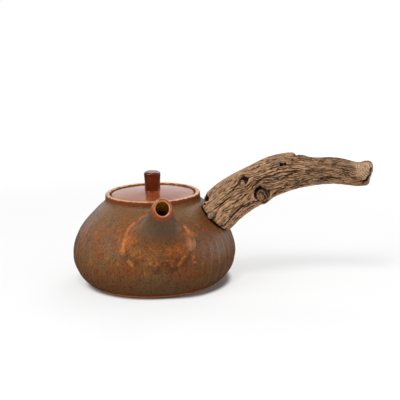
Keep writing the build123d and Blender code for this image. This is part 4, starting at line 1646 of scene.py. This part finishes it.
# %% [markdown]
# Now the layers are laid over one another. The fissures run shallow over the pale end, a knot
# takes the place of what it meets, and the pits go through everything. What the finish needs is
# worked out on the way: how dark a point is, whether it is knot wood, and its tone, which is
# above 0 on the pale end and below 0 where the wood is bleached grey.
# %% Carved wood


def carve_wood(rings, share, grain):
    """Height over the loft in metres, and for the finish: darkness, knot wood and tone."""
    x = rings[..., 0] / MM
    front = ramp_up(wood_front, 0.05, 0.35)
    wobble = np.stack([unevenness(rings, 1.6 * MM, 91), unevenness(rings, 1.6 * MM, 92)], axis=-1)
    seen = rings[..., (0, 2)] / MM + 0.25 * wobble
    strip, calm = strip_height(rings, grain)
    near_butt = ramp_up(rings[..., 0], 62 * MM, 46 * MM)
    depth, dark = fissures(grain, np.maximum(calm, 1.6 * near_butt))
    pale, arcs = swirl(seen)
    depth = depth * (1 - 0.8 * pale * front) + arcs * front
    dark = np.maximum(dark * (1 - 0.8 * pale * front), 1.1 * arcs * front)
    furrow, furrow_dark = furrows(rings, share)
    swell = unevenness(grain, np.array([22, 5, 5]) * MM, 86) + 0.8 * unevenness(rings, 6 * MM, 89)
    height = 0.35 * (swell - 0.4) - np.maximum(depth, furrow)
    dark = np.maximum(dark, furrow_dark)
    knots, hollow, plug = knot_heights(rings, seen, front)
    solid = np.minimum(2 * plug, 1)
    height = height * (1 - 0.8 * np.maximum(hollow, solid)) + knots
    dark = np.maximum(dark * (1 - solid), hollow)
    pits = pit_depths(rings, seen)
    height = height - pits * front
    # holes, pocket, notch, cleft and the gap round the peg are painted dark as shade
    dark = np.maximum(dark, np.clip(pits, 0, 1) * front)
    plug = np.maximum(plug, 0.9 * spots(seen, warm_spots, 0, (1.1, 0.6)) * front)
    grey = spots(seen, grey_spots, 0.3 * wobble[..., 0], (1.2, 0.5)) * front
    top = ramp_up(wood_up, 0.75, 0.95) * ramp_up(x, 91, 93) * ramp_up(x, 128, 122)
    tone = 0.9 * pale * front - np.maximum(np.maximum(grey, 0.9 * top), 0.4 * calm)
    lump = 0.45 * ramp_up(x, 92, 93) * ramp_up(x, 98.5, 97) * ramp_up(wood_up, 0.6, 0.9)
    return (height + strip + lump + broad_form(rings)) * MM, dark, plug, tone


def worked_wood():
    """Rings of the carved wood with the values for its finish; the butt face stays smooth."""
    height, dark, plug, tone = carve_wood(wood_base, wood_share, wood_grain)
    row = np.arange(len(wood_base))[:, None]
    worn = 0.3 + 0.9 * ramp_up(np.sin(wood_turns - 0.9), -0.1, 0.8)
    height = height * ramp_up(row, 9, 12) - worn * MM * ramp_up(row, 15, 9) * (row > 8)
    return wood_base + outward(wood_base) * height[..., None], dark, plug, tone


wood_rings, wood_dark, wood_plugs, wood_tone = worked_wood()
deepest = np.linalg.norm(wood_rings - wood_base, axis=-1).max() / MM
print("furthest from the loft:", round(float(deepest), 1), "mm")

# %% [markdown]
# Weathered wood is grey where the sun bleached it and tan where it is sheltered. Its fibres
# show as fine streaks, and every crack is dark because dirt and shadow sit in it. The streaks
# come from noise in grain space, so they part round the knots with the cracks, and so do short
# checks, which are the veins of a noise stretched along the grain.
# %% Weathered wood
wood_tan = shade(210, 166, 125)
wood_brown = shade(134, 95, 65)
wood_grey = shade(124, 108, 92)
wood_pale = shade(206, 176, 144)
wood_crack = shade(76, 50, 32)
wood_black = shade(28, 18, 12)
bark_grey = shade(138, 116, 94)
heart_tan = shade(180, 120, 74)


def wood_patterns(wire, grain):
    """Streaks, fibres and short checks, all of them noise that is stretched along the grain."""
    streaks = patches(wire, grain, 1.5 * MM, 5, 0.7, (5, 1, 1))
    fibres = patches(wire, grain, 0.65 * MM, 5, 0.75, (5.5, 1, 1))
    checks = veins(patches(wire, grain, 2.0 * MM, 3, 0.65, (4, 1, 1)), 0.10)
    places = soft_step(patches(wire, grain, 2.4 * MM, 3, 0.5, (5, 1, 1)), 0.30, 0.52)
    return streaks, fibres, checks * places


def weathered_wood():
    """Finish of the handle: tan, then grey, pale end, knots and, over all of them, the cracks."""
    finish, wire = start_finish("weathered_wood")
    plug, tone = stored(wire, "plug"), stored(wire, "tone")
    streaks, fibres, checks = wood_patterns(wire, stored(wire, "grain", "Vector"))
    clouds = patches(wire, object_place(wire), 11 * MM, 4)
    colour = blend(wire, wood_tan, wood_brown, soft_step(streaks, 0.43, 0.67) * 0.8)
    colour = blend(wire, colour, wood_grey, soft_step(clouds, 0.54, 0.68) * 0.4)
    weathered = (1 - soft_step(tone, -0.9, -0.1)) * (soft_step(fibres, 0.38, 0.58) * 0.5 + 0.25)
    colour = blend(wire, colour, wood_grey, weathered)
    pale = soft_step(tone, 0.2, 0.9)
    colour = blend(wire, colour, wood_pale, pale * 0.6)
    colour = blend(wire, colour, wood_brown, soft_step(fibres, 0.50, 0.66) * 0.6)
    colour = blend(wire, colour, bark_grey, soft_step(plug, 0.1, 0.4) * 0.75)
    colour = blend(wire, colour, heart_tan, soft_step(plug, 0.6, 0.95) * 0.8)
    streaked = ((fibres - 0.52) * 1.15 + checks * 0.40) * (1 - pale * 0.85)
    shadowed = stored(wire, "dark") + streaked
    colour = blend(wire, colour, wood_crack, soft_step(shadowed, 0.22, 0.62))
    colour = blend(wire, colour, wood_black, soft_step(shadowed, 0.78, 1.1))
    rough = fibres * 0.15 + 0.8
    raised = bump(wire, fibres * 0.7 + streaks * 0.5 - checks * 0.35, 0.8 * MM)
    return end_finish(finish, wire, Base_Color=colour, Roughness=rough, Normal=raised, IOR=1.3)


def make_wood(finish):
    """The wood as one closed piece."""
    poles = [wood_rings[0].mean(axis=0), wood_rings[-1].mean(axis=0)]
    mesh = mesh_of("wood_grip", wood_rings, poles)
    values = {"grain": wood_grain, "dark": wood_dark, "plug": wood_plugs, "tone": wood_tone}
    for name, value in values.items():
        add_values(mesh, name, value)
    return add_piece(mesh, "pot", finish, ["handle"])


wood_finish = weathered_wood()
make_wood(wood_finish)
print("weathered wood nodes:", len(wood_finish.node_tree.nodes))

# %% [markdown]
# A bamboo peg locks the wood on its clay stub. Its front end shows near the butt, pared flush
# and a little frayed, in a hole with a dark edge. It is a bar of rings whose end faces are
# domed slightly, and its fibres run through it, so both ends are speckled.
# %% Peg
peg_front = np.array([39.2, -15.9, 46.6]) * MM
peg_direction = np.array([0.22, 0.97, 0.09]) / math.hypot(0.22, 0.97, 0.09)
peg_radius = 2.1 * MM
peg_length = 30.2 * MM


def make_peg(finish):
    """The peg as one closed piece, from its front end to its back end."""
    side = np.cross(peg_direction, upright)
    side = side / np.linalg.norm(side)
    up = np.cross(side, peg_direction)
    turn = np.linspace(0, 2 * np.pi, 96, endpoint=False)[:, None]
    cap = np.linspace(0.1, 0.94, 12)
    radius = np.concatenate([cap, [0.98, 1.0], np.ones(20), [1.0, 0.98], cap[::-1]]) * peg_radius
    shank = np.linspace(0.6 * MM, peg_length - 0.6 * MM, 20)
    along = np.concatenate([-0.25 * (1 - cap**2) * MM, [0.05 * MM, 0.2 * MM], shank])
    along = np.concatenate([along, peg_length - along[:14][::-1]])
    circle = np.cos(turn) * side + np.sin(turn) * up
    rings = peg_front + radius[:, None, None] * circle + along[:, None, None] * peg_direction
    fray = 0.16 * MM * unevenness(rings, np.array([0.7, 3, 0.7]) * MM, 96)
    at_ends = ramp_up(np.abs(along - peg_length / 2), peg_length / 2 - 0.8 * MM, peg_length / 2)
    rings = rings + peg_direction * (fray * at_ends[:, None])[..., None]
    mesh = mesh_of("peg", rings, [rings[0].mean(axis=0), rings[-1].mean(axis=0)])
    return add_piece(mesh, "pot", finish, ["handle_peg"])


def bamboo():
    """Finish of the peg: pale fibres cut across, with darker pores between them."""
    finish, wire = start_finish("bamboo")
    place = object_place(wire)
    pores = patches(wire, place, 0.9 * MM, 4, 0.7, (1, 4, 1))
    worn = patches(wire, place, 1.6 * MM, 3)
    colour = blend(wire, shade(134, 106, 78), shade(206, 186, 156), soft_step(pores, 0.50, 0.60))
    colour = blend(wire, colour, shade(70, 50, 34), soft_step(worn, 0.52, 0.64) * 0.8)
    rough = pores * 0.2 + 0.65
    raised = bump(wire, pores, 0.4 * MM)
    return end_finish(finish, wire, Base_Color=colour, Roughness=rough, Normal=raised)


make_peg(bamboo())

# %% [markdown]
# A dull black layer fills the gap between butt and shoulder and shows as a thin dark line, and
# inside the wood a clay stub carries everything. Both are CAD nodes that need no new shape. The
# same goes for the strainer dome behind the spout.
# %% Filler, stub and strainer


def black_filler():
    """Finish of the black layer in the gap: dull and slightly lumpy."""
    finish, wire = start_finish("black_filler")
    lumps = patches(wire, object_place(wire), 0.8 * MM, 4, 0.6)
    colour = blend(wire, shade(16, 12, 10), shade(34, 26, 20), soft_step(lumps, 0.5, 0.75))
    rough = lumps * 0.2 + 0.75
    raised = bump(wire, lumps, 0.3 * MM)
    return end_finish(finish, wire, Base_Color=colour, Roughness=rough, Normal=raised, IOR=1.2)


node_finishes = {
    "strainer": clay_finish,
    "handle_stub": clay_finish,
    "handle_bedding": black_filler(),
}
for name, finish in node_finishes.items():
    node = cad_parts[name]
    node.data.materials.clear()
    node.data.materials.append(finish)
print("finished CAD nodes:", ", ".join(node_finishes))
